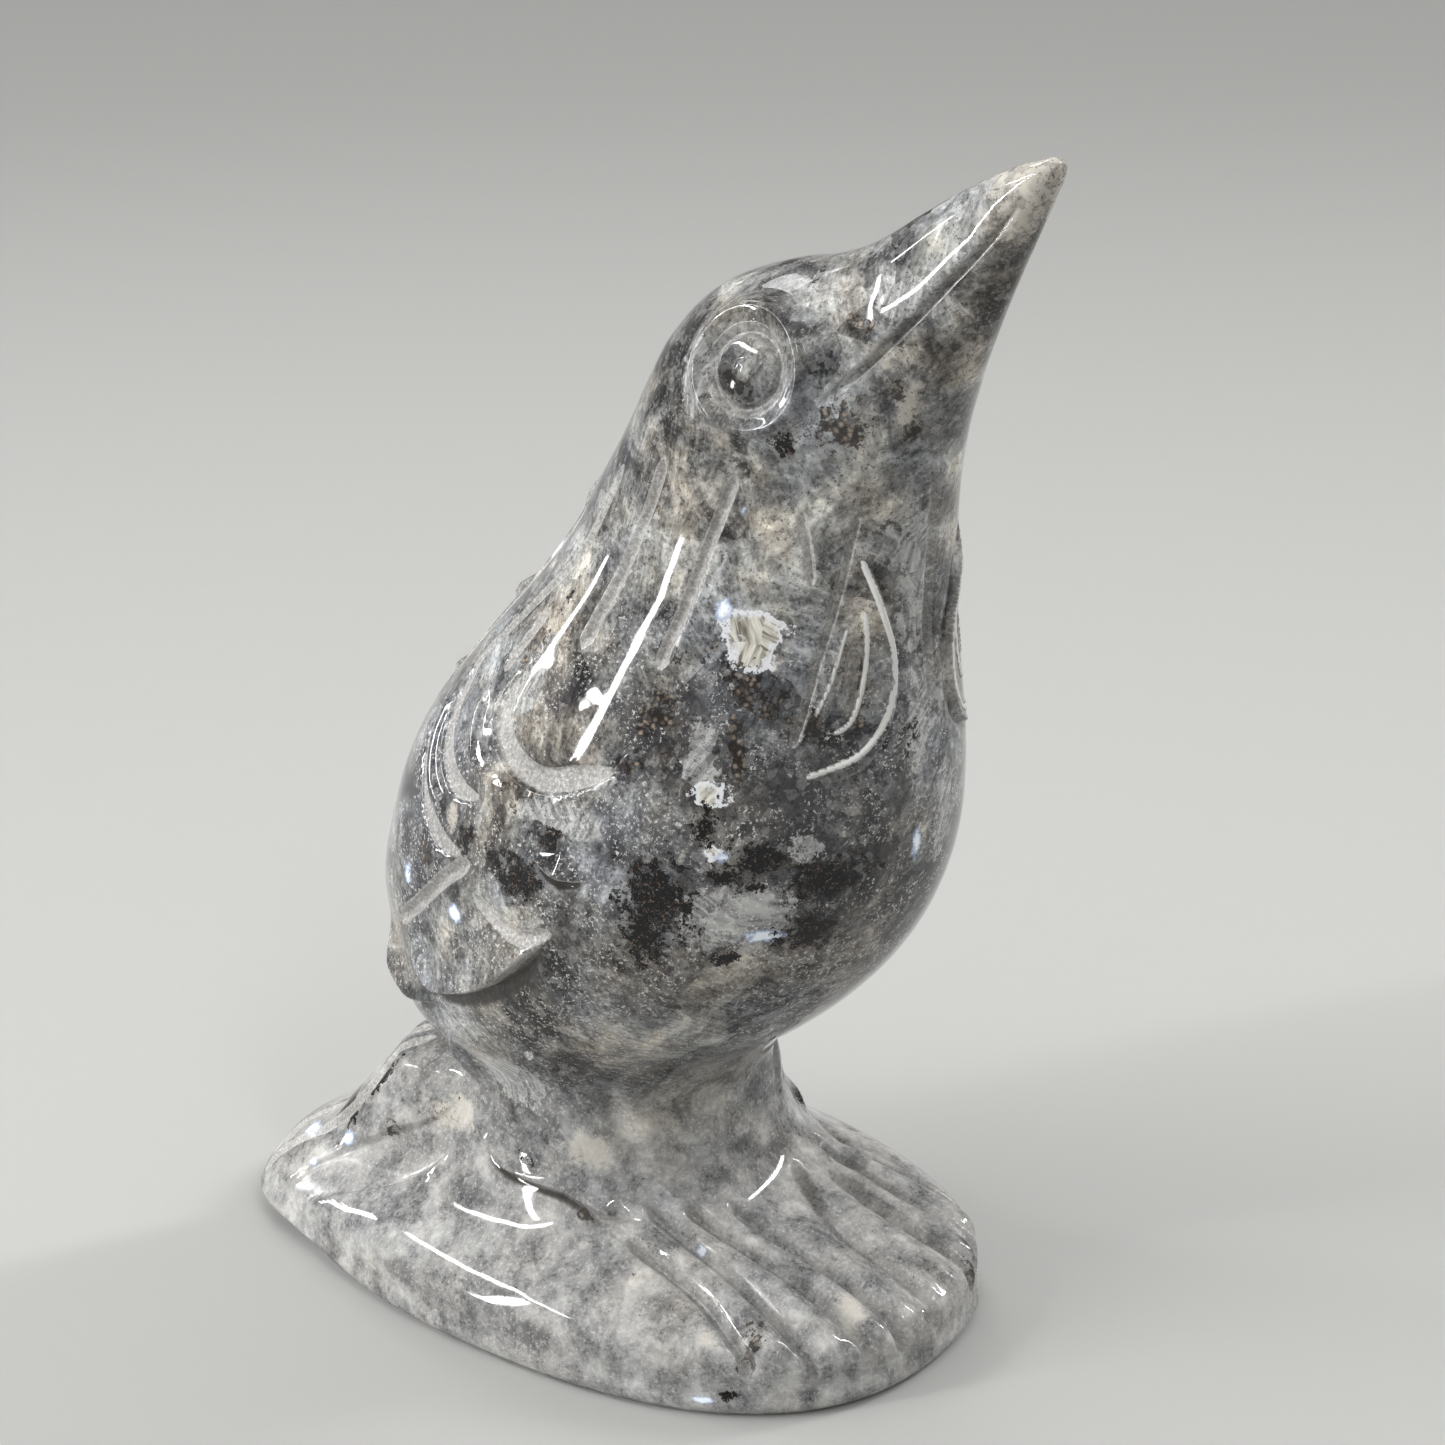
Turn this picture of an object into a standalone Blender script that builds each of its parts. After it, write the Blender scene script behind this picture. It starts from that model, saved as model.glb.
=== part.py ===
"""A raven with its beak lifted, cut from one piece of dark feldspar together with the rock it stands on.

The bird faces -Y and its right side is -X. The origin is the middle of the flat underside.
The whole surface is one stack of rings, from the underside up through legs, body and head to the tip of
the beak, and the feathers, eyes, feet and tail are then carved into it.
"""

import bmesh
import bpy
import numpy as np

# Driving sizes, in metres
HEIGHT = 0.0898
BASE_LENGTH = 0.0550
BASE_WIDTH = 0.0370
BASE_SIDE = 0.0048
BASE_EDGE = 0.0005
TAIL_LIFT = 0.0006
TAIL_OVERHANG = 0.0018

# The bird is a free form, given in a carver's unit: a share of its own height above the side of the base
UNIT = (HEIGHT - BASE_SIDE) / 85.0

# Fineness of the stack of rings, and about how many triangles the finished solid has
RINGS = 360
SEGMENTS = 320
TRIANGLES = 9400

# Side view of the bird, in units. A level is a ring's place in the stack, and heights count from the
# top of the side of the base.
WAIST_LEVEL = 13.2
WAIST_FRONT = 10.2
WAIST_BACK = 11.0
WAIST_HALF = 12.0
# Level, and how much of the way from the waist out to the rim the rock has spread
SPREAD = (
    (0.0, 0.955),
    (1.5, 0.770),
    (3.2, 0.430),
    (5.2, 0.175),
    (7.2, 0.065),
    (9.2, 0.020),
    (11.2, 0.005),
)
# Level, front (forward, up), back (backward, up), half width
BODY = (
    (13.2, (10.2, 13.2), (12.6, 13.2), 12.0),
    (15.2, (11.3, 15.2), (15.8, 15.2), 12.8),
    (17.2, (13.0, 17.2), (17.6, 17.2), 14.2),
    (19.2, (15.7, 19.2), (18.3, 19.2), 15.1),
    (23.2, (20.0, 23.2), (18.5, 23.2), 16.6),
    (27.2, (23.0, 27.2), (18.7, 27.2), 17.6),
    (31.2, (24.9, 31.2), (17.7, 31.2), 17.9),
    (35.2, (26.0, 35.2), (16.4, 35.2), 17.7),
    (39.2, (26.4, 39.2), (14.4, 39.2), 17.1),
    (43.2, (26.5, 43.2), (11.5, 43.2), 15.9),
    (47.2, (26.4, 47.2), (8.2, 47.2), 14.4),
    (51.2, (26.3, 51.2), (4.7, 51.2), 12.9),
)
HEAD = (
    (55.0, (26.5, 54.2), (1.4, 55.5), 11.6),
    (59.0, (26.7, 57.0), (-1.2, 60.0), 10.6),
    (63.0, (26.9, 59.4), (-3.5, 64.0), 10.0),
    (67.0, (27.2, 61.6), (-5.3, 67.4), 9.6),
    (71.0, (27.6, 63.6), (-7.4, 70.6), 9.3),
    (75.0, (28.0, 65.5), (-10.4, 73.5), 8.8),
    (79.0, (28.6, 67.4), (-14.6, 75.3), 7.6),
    (83.0, (29.5, 69.8), (-18.2, 76.2), 6.0),
    (87.0, (30.7, 72.6), (-21.9, 77.7), 4.5),
    (91.0, (32.2, 76.0), (-25.9, 80.3), 3.3),
    (95.0, (33.9, 79.6), (-29.8, 82.7), 2.3),
    (98.0, (35.2, 82.4), (-33.0, 84.3), 1.6),
    (99.4, (35.8, 83.8), (-34.5, 84.8), 1.1),
    (100.1, (35.9, 84.4), (-35.2, 85.0), 0.6),
    (100.4, (35.8, 84.7), (-35.5, 84.9), 0.2),
)
# Level, squareness of the ring, and how much wider it is in front than behind
SECTION = (
    (-6.0, 2.35, 0.02),
    (0.0, 2.35, 0.02),
    (13.2, 2.10, 0.0),
    (35.0, 2.05, 0.0),
    (63.0, 2.0, -0.05),
    (75.0, 2.0, -0.14),
    (87.0, 1.9, 0.0),
    (100.4, 2.0, 0.0),
)

# The tail, in units. Its reach is a share of the way from its root out to its tip: first under its edge,
# then just over the edge (units above it, share), then up its back (level, share).
TAIL_UNDERSIDE = 0.30
TAIL_EDGE = 0.50
TAIL_LIP = ((0.8, 0.970), (1.6, 0.985))
TAIL_BACK = (
    (0.0, 0.770),
    (1.2, 0.680),
    (3.2, 0.560),
    (5.2, 0.440),
    (7.2, 0.305),
    (9.2, 0.160),
    (11.2, 0.045),
    (13.2, 0.0),
)
TAIL_ROOT = 17.5
TAIL_ROOT_HALF = 7.2
TAIL_TIP_HALF = 9.8
TAIL_SQUARENESS = 3.0
TAIL_FADE = 3.0
TAIL_SHARPNESS = 8.0
# The tail and the base are turned a little to the bird's right, in degrees
TAIL_SWING = 18.0
BASE_TURN = 4.0

# The eye: a flattened round with a raised rim, a sunk ring, a low dome and a boss, in units
EYE_PLACE = (75.4, 99.0)
EYE_RIM = 3.7
EYE_RIM_RISE = 0.42
EYE_RIM_WIDTH = 0.75
EYE_SUNK = 2.5
EYE_SUNK_DEPTH = 0.40
EYE_SUNK_WIDTH = 0.55
EYE_DOME_RISE = 0.20
EYE_BOSS = 0.70
EYE_BOSS_RISE = 0.16
EYE_FLATTENING = 0.55

# Carved lines. A place is a level and an angle in degrees, where 0 is the front of the bird, 90 its right
# side and 180 its back. A line has a cut, a width to each side and a depth in units, and then its places.
# A groove is a rounded channel, a band is a wide flat one, a ridge stands up, and a lap raises the stone
# on the left of the line, as one feather lies over the next. The mouth is open by a hair under its lap.
BEAK = (
    ("lap", 2.2, 0.45, ((76.5, 69.0), (82.4, 69.5), (87.0, 71.0), (93.0, 68.0), (97.0, 66.0))),
    ("groove", 0.6, 0.22, ((76.5, 68.0), (82.4, 68.5), (87.0, 70.0), (93.0, 67.0), (97.0, 65.0))),
)
NECK = (
    ("ridge", 2.2, 0.25, ((70.0, 125.0), (66.0, 124.0), (62.5, 118.0), (57.5, 113.0))),
    ("groove", 0.8, 0.50, ((64.5, 109.0), (61.5, 106.5), (57.0, 104.0), (50.0, 100.0))),
    ("groove", 0.7, 0.45, ((66.4, 80.5), (59.4, 80.0), (52.3, 77.5), (50.0, 76.5))),
    ("groove", 0.6, 0.35, ((65.0, 56.5), (61.0, 50.0), (57.5, 45.0))),
    ("groove", 0.8, 0.45, ((61.5, 129.0), (55.5, 126.0), (50.8, 131.0), (44.9, 137.0))),
    ("groove", 0.7, 0.35, ((51.5, 121.0), (46.4, 120.0))),
)
BREAST = (
    ("groove", 0.7, 0.50, ((65.5, 37.0), (56.2, 36.5), (49.0, 37.0), (45.5, 38.5))),
    ("lap", 2.0, 0.50, ((43.0, 32.0), (43.8, 20.0), (46.5, 13.0), (51.7, 13.0), (55.6, 19.5), (61.0, 31.0))),
    ("groove", 0.6, 0.35, ((53.0, 25.5), (46.8, 23.5))),
)
WINGS = (
    ("ridge", 4.0, 0.45, ((52.0, 98.0), (46.5, 95.0), (43.8, 87.0))),
    ("band", 1.2, 0.60, ((47.0, 113.5), (43.9, 108.5), (42.4, 100.0), (41.7, 91.0), (43.2, 75.5))),
    ("ridge", 1.1, 0.30, ((45.5, 122.0), (42.6, 116.0), (40.5, 107.0), (40.0, 97.0))),
    ("band", 0.9, 0.50, ((46.5, 136.0), (41.9, 127.0), (39.6, 117.5), (38.6, 110.0), (38.8, 100.5))),
    ("ridge", 1.1, 0.30, ((43.5, 137.0), (39.6, 127.5), (37.3, 118.0), (36.2, 108.0))),
    ("band", 0.9, 0.50, ((41.5, 138.0), (38.3, 126.5), (35.7, 117.0), (34.4, 109.0), (34.3, 100.0))),
    ("groove", 0.8, 0.50, ((34.2, 99.0), (31.8, 105.5), (28.5, 112.5), (25.6, 121.0))),
    ("lap", 2.4, 0.60, ((36.6, 88.0), (35.2, 80.0), (35.6, 70.0))),
    ("groove", 0.7, 0.35, ((32.0, 97.0), (30.6, 90.0), (30.0, 83.0), (31.0, 77.0))),
    ("lap", 4.4, 1.20, ((27.4, 114.0), (23.8, 112.0), (22.6, 103.0), (23.6, 94.0), (31.4, 75.0))),
    ("lap", 3.2, 1.00, ((25.0, 133.0), (21.2, 129.0), (19.8, 116.0), (20.8, 100.0))),
    ("groove", 0.9, 0.50, ((57.0, 147.0), (48.0, 150.0), (38.0, 153.0), (29.0, 157.0), (21.5, 166.0))),
)
LEGS = (
    ("lap", 2.4, 0.80, ((18.0, 99.0), (14.0, 108.0), (11.0, 115.0), (9.0, 112.0), (7.6, 102.0))),
    ("lap", 2.4, 0.80, ((9.0, 112.0), (7.4, 100.0), (7.0, 88.0), (6.8, 74.0), (5.4, 56.0), (5.4, 46.0))),
    ("groove", 1.5, 0.45, ((16.5, 49.0), (13.0, 50.0), (10.4, 46.0), (8.0, 36.0))),
    ("groove", 1.2, 0.40, ((15.5, 36.0), (11.5, 31.0), (8.5, 24.0))),
    ("band", 2.4, 0.80, ((11.5, 122.0), (7.0, 129.0), (2.6, 134.0), (-2.0, 136.0), (-4.4, 136.0))),
)
PAIRED_LINES = BEAK + NECK + BREAST + WINGS + LEGS
MIDDLE_OF_BREAST = ("groove", 0.7, 0.45, ((71.0, 4.0), (63.0, 1.0), (55.0, 0.0), (46.5, -4.0)))
# The toes and the clefts between them run over the front of the rock, and no two are alike
CLEFT = ("groove", 0.85, 0.80)
CLEFTS = (
    ((4.6, 56.0), (3.0, 47.0), (0.6, 44.5), (-2.0, 44.0)),
    ((6.4, 45.0), (3.6, 34.5), (1.5, 32.0), (-2.5, 31.0)),
    ((6.2, 32.0), (3.6, 22.0), (1.2, 18.5), (-2.6, 18.0)),
    ((5.6, 16.0), (2.7, 10.5), (0.0, 9.5), (-2.6, 9.0)),
    ((5.6, -14.0), (4.0, -6.0), (1.4, -0.5), (-2.6, 0.0)),
    ((4.4, -22.0), (2.2, -16.5), (-0.8, -15.0), (-2.6, -14.5)),
    ((5.4, -36.0), (2.4, -28.0), (-0.8, -26.5), (-2.6, -26.0)),
    ((4.6, -52.0), (3.0, -43.0), (0.6, -41.0), (-2.0, -40.5)),
)
TOE = ("ridge", 1.5, 0.45)
TOES = (
    ((4.6, 47.0), (2.4, 38.5), (-1.6, 37.5)),
    ((4.4, 34.0), (2.0, 25.5), (-1.6, 24.5)),
    ((4.4, 22.0), (2.0, 14.5), (-1.6, 13.5)),
    ((4.2, 2.0), (2.0, 5.0), (-1.6, 4.6)),
    ((4.2, -15.0), (1.4, -8.5), (-1.6, -7.5)),
    ((4.2, -28.0), (1.4, -21.5), (-1.6, -20.5)),
    ((4.2, -42.0), (1.4, -34.5), (-1.6, -33.5)),
)
# Grooves that fan out over the tail: where each one stands in the fan, and the fan's half spread in
# degrees at the levels that it crosses
TAIL_GROOVE = ("groove", 0.9, 0.55)
TAIL_GROOVES = (-0.62, -0.22, 0.22, 0.62)
TAIL_FAN = ((11.5, 20.0), (6.0, 26.0), (0.0, 30.0), (-2.6, 32.0))
TAIL_FAN_MIDDLE = 170.0
# Scallops down the middle of the back: level of each one's tip, and its half spread in degrees
BACK_SCALLOP = ("lap", 2.4, 0.60)
BACK_SCALLOPS = ((53.5, 24.0), (46.0, 24.0), (38.5, 22.0), (31.0, 20.0), (24.0, 18.0))
SCALLOP_HEIGHT = 5.0
SCALLOP_PLACES = 7

# The profile of a lap: how wide its edge is (a share of its width), how it falls away behind the edge, and
# how deep the stone is cut at its foot (a share of its depth)
LAP_EDGE = 0.30
LAP_FALL = 1.5
LAP_FOOT = 0.45

# How a line fades at its ends (in its own widths) and near the underside (in units), the spacing at which
# it is followed (in units), and how far round the stone it still reaches (as a cosine)
LINE_ENDS = 1.6
FADE = 1.6
STEP = 0.3
SAME_FACE = 0.2

STONE_COLOR = (0.118, 0.122, 0.130, 1.0)
STONE_ROUGHNESS = 0.16


def eased(share):
    """A share from 0 to 1, limited and smoothed at both ends."""
    share = np.clip(share, 0.0, 1.0)
    return share * share * (3.0 - 2.0 * share)


def through(knots, values, at):
    """Smooth curve through the values at the knots: cubic spans whose slopes come from the neighbours."""
    knots = np.asarray(knots, float)
    values = np.asarray(values, float).reshape(len(knots), -1)
    at = np.asarray(at, float)
    slopes = np.gradient(values, knots, axis=0)
    span = np.clip(np.searchsorted(knots, at, side="right") - 1, 0, len(knots) - 2)
    width = (knots[span + 1] - knots[span])[:, None]
    t = np.clip((at - knots[span])[:, None] / width, 0.0, 1.0)
    lead = t * (1.0 - t) ** 2 * width
    trail = t * t * (t - 1.0) * width
    curve = values[span] * (1.0 - eased(t)) + values[span + 1] * eased(t)
    return curve + slopes[span] * lead + slopes[span + 1] * trail


def outline():
    """Level, front point, back point and half width of every station, in metres apart from the level."""
    half_length = BASE_LENGTH / 2
    half_width = BASE_WIDTH / 2
    foot = -BASE_SIDE / UNIT
    edge = foot + BASE_EDGE / UNIT
    rows = []
    for level, inset in ((foot, BASE_EDGE), (edge, 0.0), (foot / 2, 0.0)):
        z = BASE_SIDE + level * UNIT
        rows.append((level, half_length - inset, z, half_length - inset, z, half_width - inset))
    for level, share in SPREAD:
        z = BASE_SIDE + level * UNIT
        front = WAIST_FRONT * UNIT * (1.0 - share) + half_length * share
        back = WAIST_BACK * UNIT * (1.0 - share) + half_length * share
        side = WAIST_HALF * UNIT * (1.0 - share) + half_width * share
        rows.append((level, front, z, back, z, side))
    for level, (forward, front_up), (backward, back_up), side in BODY + HEAD:
        front_z = BASE_SIDE + front_up * UNIT
        back_z = BASE_SIDE + back_up * UNIT
        rows.append((level, forward * UNIT, front_z, backward * UNIT, back_z, side * UNIT))
    return np.array(rows)


def power_round(value, exponent):
    """A cosine or sine drawn out towards the corners of a squarer round."""
    return np.sign(value) * np.abs(value) ** (2.0 / exponent)


def ring_points(levels, segments):
    """Points of the rings at these levels, as rings by segments by coordinates."""
    table = outline()
    knots = table[:, 0]
    front = through(knots, table[:, 1:3] * (-1.0, 1.0), levels)
    back = through(knots, table[:, 3:5], levels)
    side = through(knots, table[:, 5], levels)
    section = np.array(SECTION)
    squareness, swell = np.split(through(section[:, 0], section[:, 1:], levels), 2, axis=1)
    angle = np.arange(segments) * 2.0 * np.pi / segments
    forward = power_round(np.cos(angle)[None, :], squareness)
    across = power_round(np.sin(angle)[None, :], squareness)
    middle = (front + back)[:, None, :] / 2
    reach = (front - back)[:, None, :] / 2
    points = np.empty((len(levels), segments, 3))
    points[:, :, 0] = -side * across * (1.0 + swell * forward)
    points[:, :, 1:] = middle + reach * forward[:, :, None]
    return points


def turned(x, y, degrees):
    """Across and backward places of points, in a frame that is turned to the bird's right."""
    turn = np.radians(degrees)
    return x * np.cos(turn) + y * np.sin(turn), y * np.cos(turn) - x * np.sin(turn)


def turn_base(points, levels):
    """Turns the rock under the bird, less and less up to its waist."""
    share = np.clip(1.0 - levels / WAIST_LEVEL, 0.0, 1.0)[:, None]
    x, y = turned(points[:, :, 0], points[:, :, 1], -BASE_TURN * share)
    points[:, :, 0] = x
    points[:, :, 1] = y


def tail_shares(levels):
    """How far out the tail reaches at these levels, as shares of the way from its root to its tip."""
    foot = -BASE_SIDE / UNIT
    edge = foot + TAIL_LIFT / UNIT
    knots = [(foot, TAIL_UNDERSIDE), (edge, TAIL_EDGE)]
    knots += [(edge + above, share) for above, share in TAIL_LIP]
    knots = np.array(knots + list(TAIL_BACK))
    return through(knots[:, 0], knots[:, 1], levels)


def add_tail(points, levels):
    """Pushes the backs of the low rings out to the tail, whose tip overhangs the end of the rock."""
    low = levels < WAIST_LEVEL
    share = tail_shares(levels[low])
    reach = TAIL_ROOT * UNIT * (1.0 - share) + (BASE_LENGTH / 2 + TAIL_OVERHANG) * share
    half = (TAIL_ROOT_HALF * (1.0 - share) + TAIL_TIP_HALF * share) * UNIT
    x = points[low, :, 0]
    y = points[low, :, 1]
    far = np.hypot(x, y)
    across, backward = turned(x, y, TAIL_SWING)
    along = np.clip(backward / far, 0.01, None) / reach
    aside = np.abs(across / far) / half
    lobe = (along**TAIL_SQUARENESS + aside**TAIL_SQUARENESS) ** (-1.0 / TAIL_SQUARENESS)
    lobe[backward < 0.0] = 0.0
    joined = (far**TAIL_SHARPNESS + lobe**TAIL_SHARPNESS) ** (1.0 / TAIL_SHARPNESS)
    fade = eased((WAIST_LEVEL - levels[low]) / TAIL_FADE)[:, None]
    stretch = 1.0 + (joined / far - 1.0) * fade
    points[low, :, 0] *= stretch
    points[low, :, 1] *= stretch


def bare_form(levels, segments):
    """The stone before its lines are carved."""
    points = ring_points(levels, segments)
    turn_base(points, levels)
    add_tail(points, levels)
    return points


def even_levels(count):
    """Levels of the rings, spread so that neighbours lie about equally far apart."""
    table = outline()
    fine = np.linspace(table[0, 0], table[-1, 0], 1500)
    steps = np.linalg.norm(np.diff(bare_form(fine, 60), axis=0), axis=2)
    gap = (steps.max(axis=1) + steps.mean(axis=1)) / 2
    run = np.concatenate([[0.0], np.cumsum(gap)])
    return np.interp(np.linspace(0.0, run[-1], count), run, fine)


def normals_of(points):
    """Outward unit normals of a grid of rings by segments."""
    along = np.gradient(points, axis=0)
    around = np.roll(points, -1, axis=1) - np.roll(points, 1, axis=1)
    normals = np.cross(along, around)
    return normals / (np.linalg.norm(normals, axis=2, keepdims=True) + 1e-20)


def spots(field, levels, places):
    """The values of a grid field at places, each a level and an angle in degrees."""
    places = np.asarray(places, float)
    count = field.shape[1]
    row = np.interp(places[:, 0], levels, np.arange(len(levels)))
    column = places[:, 1] / 360.0 * count
    low = np.clip(row.astype(int), 0, len(levels) - 2)
    left = np.floor(column).astype(int)
    up = (row - low)[:, None]
    right = (column - left)[:, None]
    lower = field[low, left % count] * (1.0 - right) + field[low, (left + 1) % count] * right
    upper = field[low + 1, left % count] * (1.0 - right) + field[low + 1, (left + 1) % count] * right
    return lower * (1.0 - up) + upper * up


def run_along(line):
    """Distance along a line of points, from its start."""
    steps = np.linalg.norm(np.diff(line, axis=0), axis=1)
    return np.concatenate([[0.0], np.cumsum(steps)])


def traced(points, levels, places):
    """A smooth line on the stone through these places, as places one step apart."""
    places = np.asarray(places, float)
    run = run_along(spots(points, levels, places))
    count = max(8, int(run[-1] / (STEP * UNIT)))
    return through(run, places, np.linspace(0.0, run[-1], count))


def cut_shape(cut, offset, width, depth):
    """How far the stone rises at a signed offset to the left of a line."""
    near = np.clip(1.0 - np.abs(offset) / width, 0.0, 1.0)
    if cut == "groove":
        return -depth * eased(near)
    if cut == "band":
        return -depth * (1.0 - (1.0 - near) ** 4)
    if cut == "ridge":
        return depth * eased(near)
    edge = np.clip(offset / (LAP_EDGE * width) + 0.5, 0.0, 1.0)
    foot = np.clip(1.0 + 2.0 * offset / width, 0.0, 1.0) * (1.0 - edge)
    return depth * (eased(edge) * near**LAP_FALL - LAP_FOOT * foot * foot)


def line_rise(points, normals, levels, line, side):
    """How far each grid point rises for one carved line. Side is -1 where a lap raises the right instead."""
    cut, width, depth, places = line
    width = width * UNIT
    depth = depth * UNIT
    trail = traced(points, levels, places)
    path = spots(points, levels, trail)
    facing = spots(normals, levels, trail)
    heading = np.gradient(path, axis=0)
    heading /= np.linalg.norm(heading, axis=1, keepdims=True)
    run = run_along(path)
    fade = eased(np.minimum(run, run[-1] - run) / (LINE_ENDS * width))
    inside = np.all((points > path.min(axis=0) - width) & (points < path.max(axis=0) + width), axis=2)
    near = points[inside]
    gap = near[:, None, :] - path[None, :, :]
    nearest = np.argmin((gap * gap).sum(axis=2), axis=1)
    offset = near - path[nearest]
    offset -= heading[nearest] * (offset * heading[nearest]).sum(axis=1, keepdims=True)
    left = np.cross(normals[inside], heading[nearest])
    signed = np.linalg.norm(offset, axis=1) * np.sign((offset * left).sum(axis=1)) * side
    same_face = (normals[inside] * facing[nearest]).sum(axis=1) > SAME_FACE
    rise = np.zeros(points.shape[:2])
    rise[inside] = cut_shape(cut, signed, width, depth) * fade[nearest] * same_face
    return rise


def eye_rise(points, normals, levels, side):
    """The rise of one eye, and the flattening of the head around it."""
    level, angle = EYE_PLACE
    place = [(level, side * angle)]
    centre = spots(points, levels, place)[0]
    facing = spots(normals, levels, place)[0]
    facing /= np.linalg.norm(facing)
    offset = points - centre
    height = offset @ facing
    radius = np.linalg.norm(offset - height[:, :, None] * facing, axis=2) / UNIT
    rim = 1.0 - np.abs(radius - EYE_RIM) / EYE_RIM_WIDTH
    sunk = 1.0 - np.abs(radius - EYE_SUNK) / EYE_SUNK_WIDTH
    dome = np.clip(1.0 - (radius / EYE_SUNK) ** 2, 0.0, 1.0)
    boss = np.clip(1.0 - (radius / EYE_BOSS) ** 2, 0.0, 1.0)
    rise = EYE_RIM_RISE * eased(rim) - EYE_SUNK_DEPTH * eased(sunk)
    rise += EYE_DOME_RISE * dome + EYE_BOSS_RISE * boss
    flat = eased(3.0 - 2.0 * radius / EYE_RIM)
    same_face = normals @ facing > SAME_FACE
    return (rise * UNIT - EYE_FLATTENING * height * flat) * same_face


def back_scallops():
    """Scallops across the middle of the back, each one a curve that rises from its tip to both sides."""
    lines = []
    for tip, spread in BACK_SCALLOPS:
        shares = np.linspace(-1.0, 1.0, SCALLOP_PLACES)
        places = [(tip + SCALLOP_HEIGHT * share * share, 180.0 + spread * share) for share in shares]
        lines.append(BACK_SCALLOP + (places,))
    return lines


def tail_grooves():
    """Grooves that part the feathers of the tail."""
    lines = []
    for share in TAIL_GROOVES:
        places = [(level, TAIL_FAN_MIDDLE + spread * share) for level, spread in TAIL_FAN]
        lines.append(TAIL_GROOVE + (places,))
    return lines


def all_lines():
    """Every carved line, with 1 or -1 for the side that a lap raises."""
    lines = [(line, 1.0) for line in PAIRED_LINES]
    for cut, width, depth, places in PAIRED_LINES:
        mirrored = [(level, -angle) for level, angle in places]
        lines.append(((cut, width, depth, mirrored), -1.0))
    lines.append((MIDDLE_OF_BREAST, 1.0))
    lines += [(CLEFT + (places,), 1.0) for places in CLEFTS]
    lines += [(TOE + (places,), 1.0) for places in TOES]
    lines += [(line, -1.0) for line in back_scallops()]
    lines += [(line, 1.0) for line in tail_grooves()]
    return lines


def carve(points, levels):
    """Cuts every line and both eyes into the form at once, each along the surface's own normals."""
    normals = normals_of(points)
    rise = eye_rise(points, normals, levels, 1.0) + eye_rise(points, normals, levels, -1.0)
    for line, side in all_lines():
        rise += line_rise(points, normals, levels, line, side)
    rise *= eased((levels - levels[0]) / FADE)[:, None]
    return points + normals * rise[:, :, None]


def stone_material():
    """Dark feldspar with a high polish."""
    material = bpy.data.materials.new("polished_feldspar_stone")
    material.use_nodes = True
    shader = material.node_tree.nodes["Principled BSDF"]
    shader.inputs["Base Color"].default_value = STONE_COLOR
    shader.inputs["Roughness"].default_value = STONE_ROUGHNESS
    shader.inputs["Metallic"].default_value = 0.0
    return material


def stone_mesh(points):
    """The closed skin over the rings, with a flat underside and a round tip."""
    skin = bmesh.new()
    rows = [[skin.verts.new(point) for point in ring] for ring in points]
    for lower, upper in zip(rows, rows[1:]):
        for one, other in zip(range(len(lower)), list(range(1, len(lower))) + [0]):
            skin.faces.new((lower[other], lower[one], upper[one], upper[other]))
    skin.faces.new(rows[0])
    skin.faces.new(reversed(rows[-1]))
    bmesh.ops.poke(skin, faces=skin.faces[-1:])
    bmesh.ops.recalc_face_normals(skin, faces=skin.faces)
    mesh = bpy.data.meshes.new("raven_carving")
    skin.to_mesh(mesh)
    skin.free()
    return mesh


def add_carving():
    """The finished carving: a fine skin, thinned to the faces that its form needs."""
    levels = even_levels(RINGS)
    mesh = stone_mesh(carve(bare_form(levels, SEGMENTS), levels))
    mesh.materials.append(stone_material())
    mesh.shade_smooth()
    carving = bpy.data.objects.new("raven_carving", mesh)
    bpy.context.scene.collection.objects.link(carving)
    thinned = carving.modifiers.new("fewer_faces", "DECIMATE")
    thinned.ratio = TRIANGLES / (2.0 * RINGS * SEGMENTS)


def main():
    for old in list(bpy.data.objects):
        bpy.data.objects.remove(old, do_unlink=True)
    add_carving()


if __name__ == "__main__":
    main()
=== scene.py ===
"""A raven carved from polished feldspar, standing on a plain pale floor in soft studio light.

Run as a script it builds the whole scene. Installed as an add-on it offers the same steps in the sidebar of
the 3D view. The bird faces -Y and its right side is -X. Lengths are in metres unless a name or a comment
says otherwise.
"""

import math

import bmesh
import bpy
import numpy as np
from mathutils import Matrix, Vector


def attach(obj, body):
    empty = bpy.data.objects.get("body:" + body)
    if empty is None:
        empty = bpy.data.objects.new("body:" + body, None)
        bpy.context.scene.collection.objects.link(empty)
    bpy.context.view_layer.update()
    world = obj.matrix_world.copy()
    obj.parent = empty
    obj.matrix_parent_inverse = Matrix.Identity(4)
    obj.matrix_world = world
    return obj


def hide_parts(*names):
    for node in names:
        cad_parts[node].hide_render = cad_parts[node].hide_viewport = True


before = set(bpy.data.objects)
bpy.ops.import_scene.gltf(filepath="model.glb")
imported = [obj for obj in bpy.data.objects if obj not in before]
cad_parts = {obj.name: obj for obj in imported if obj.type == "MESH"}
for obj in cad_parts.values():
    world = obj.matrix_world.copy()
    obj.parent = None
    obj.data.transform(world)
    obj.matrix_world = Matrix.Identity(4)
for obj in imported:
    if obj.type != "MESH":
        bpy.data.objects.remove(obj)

bl_info = {
    "name": "Carved stone raven",
    "version": (1, 0, 0),
    "blender": (4, 5, 0),
    "location": "3D View > Sidebar > Raven",
    "description": "Builds a polished stone raven and the studio around it",
    "category": "Object",
}

# Driving sizes of the stone
HEIGHT = 0.0898
BASE_LENGTH = 0.0550
BASE_WIDTH = 0.0370
BASE_SIDE = 0.0048
BASE_EDGE = 0.0005
TAIL_LIFT = 0.0006
TAIL_OVERHANG = 0.0018

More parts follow.
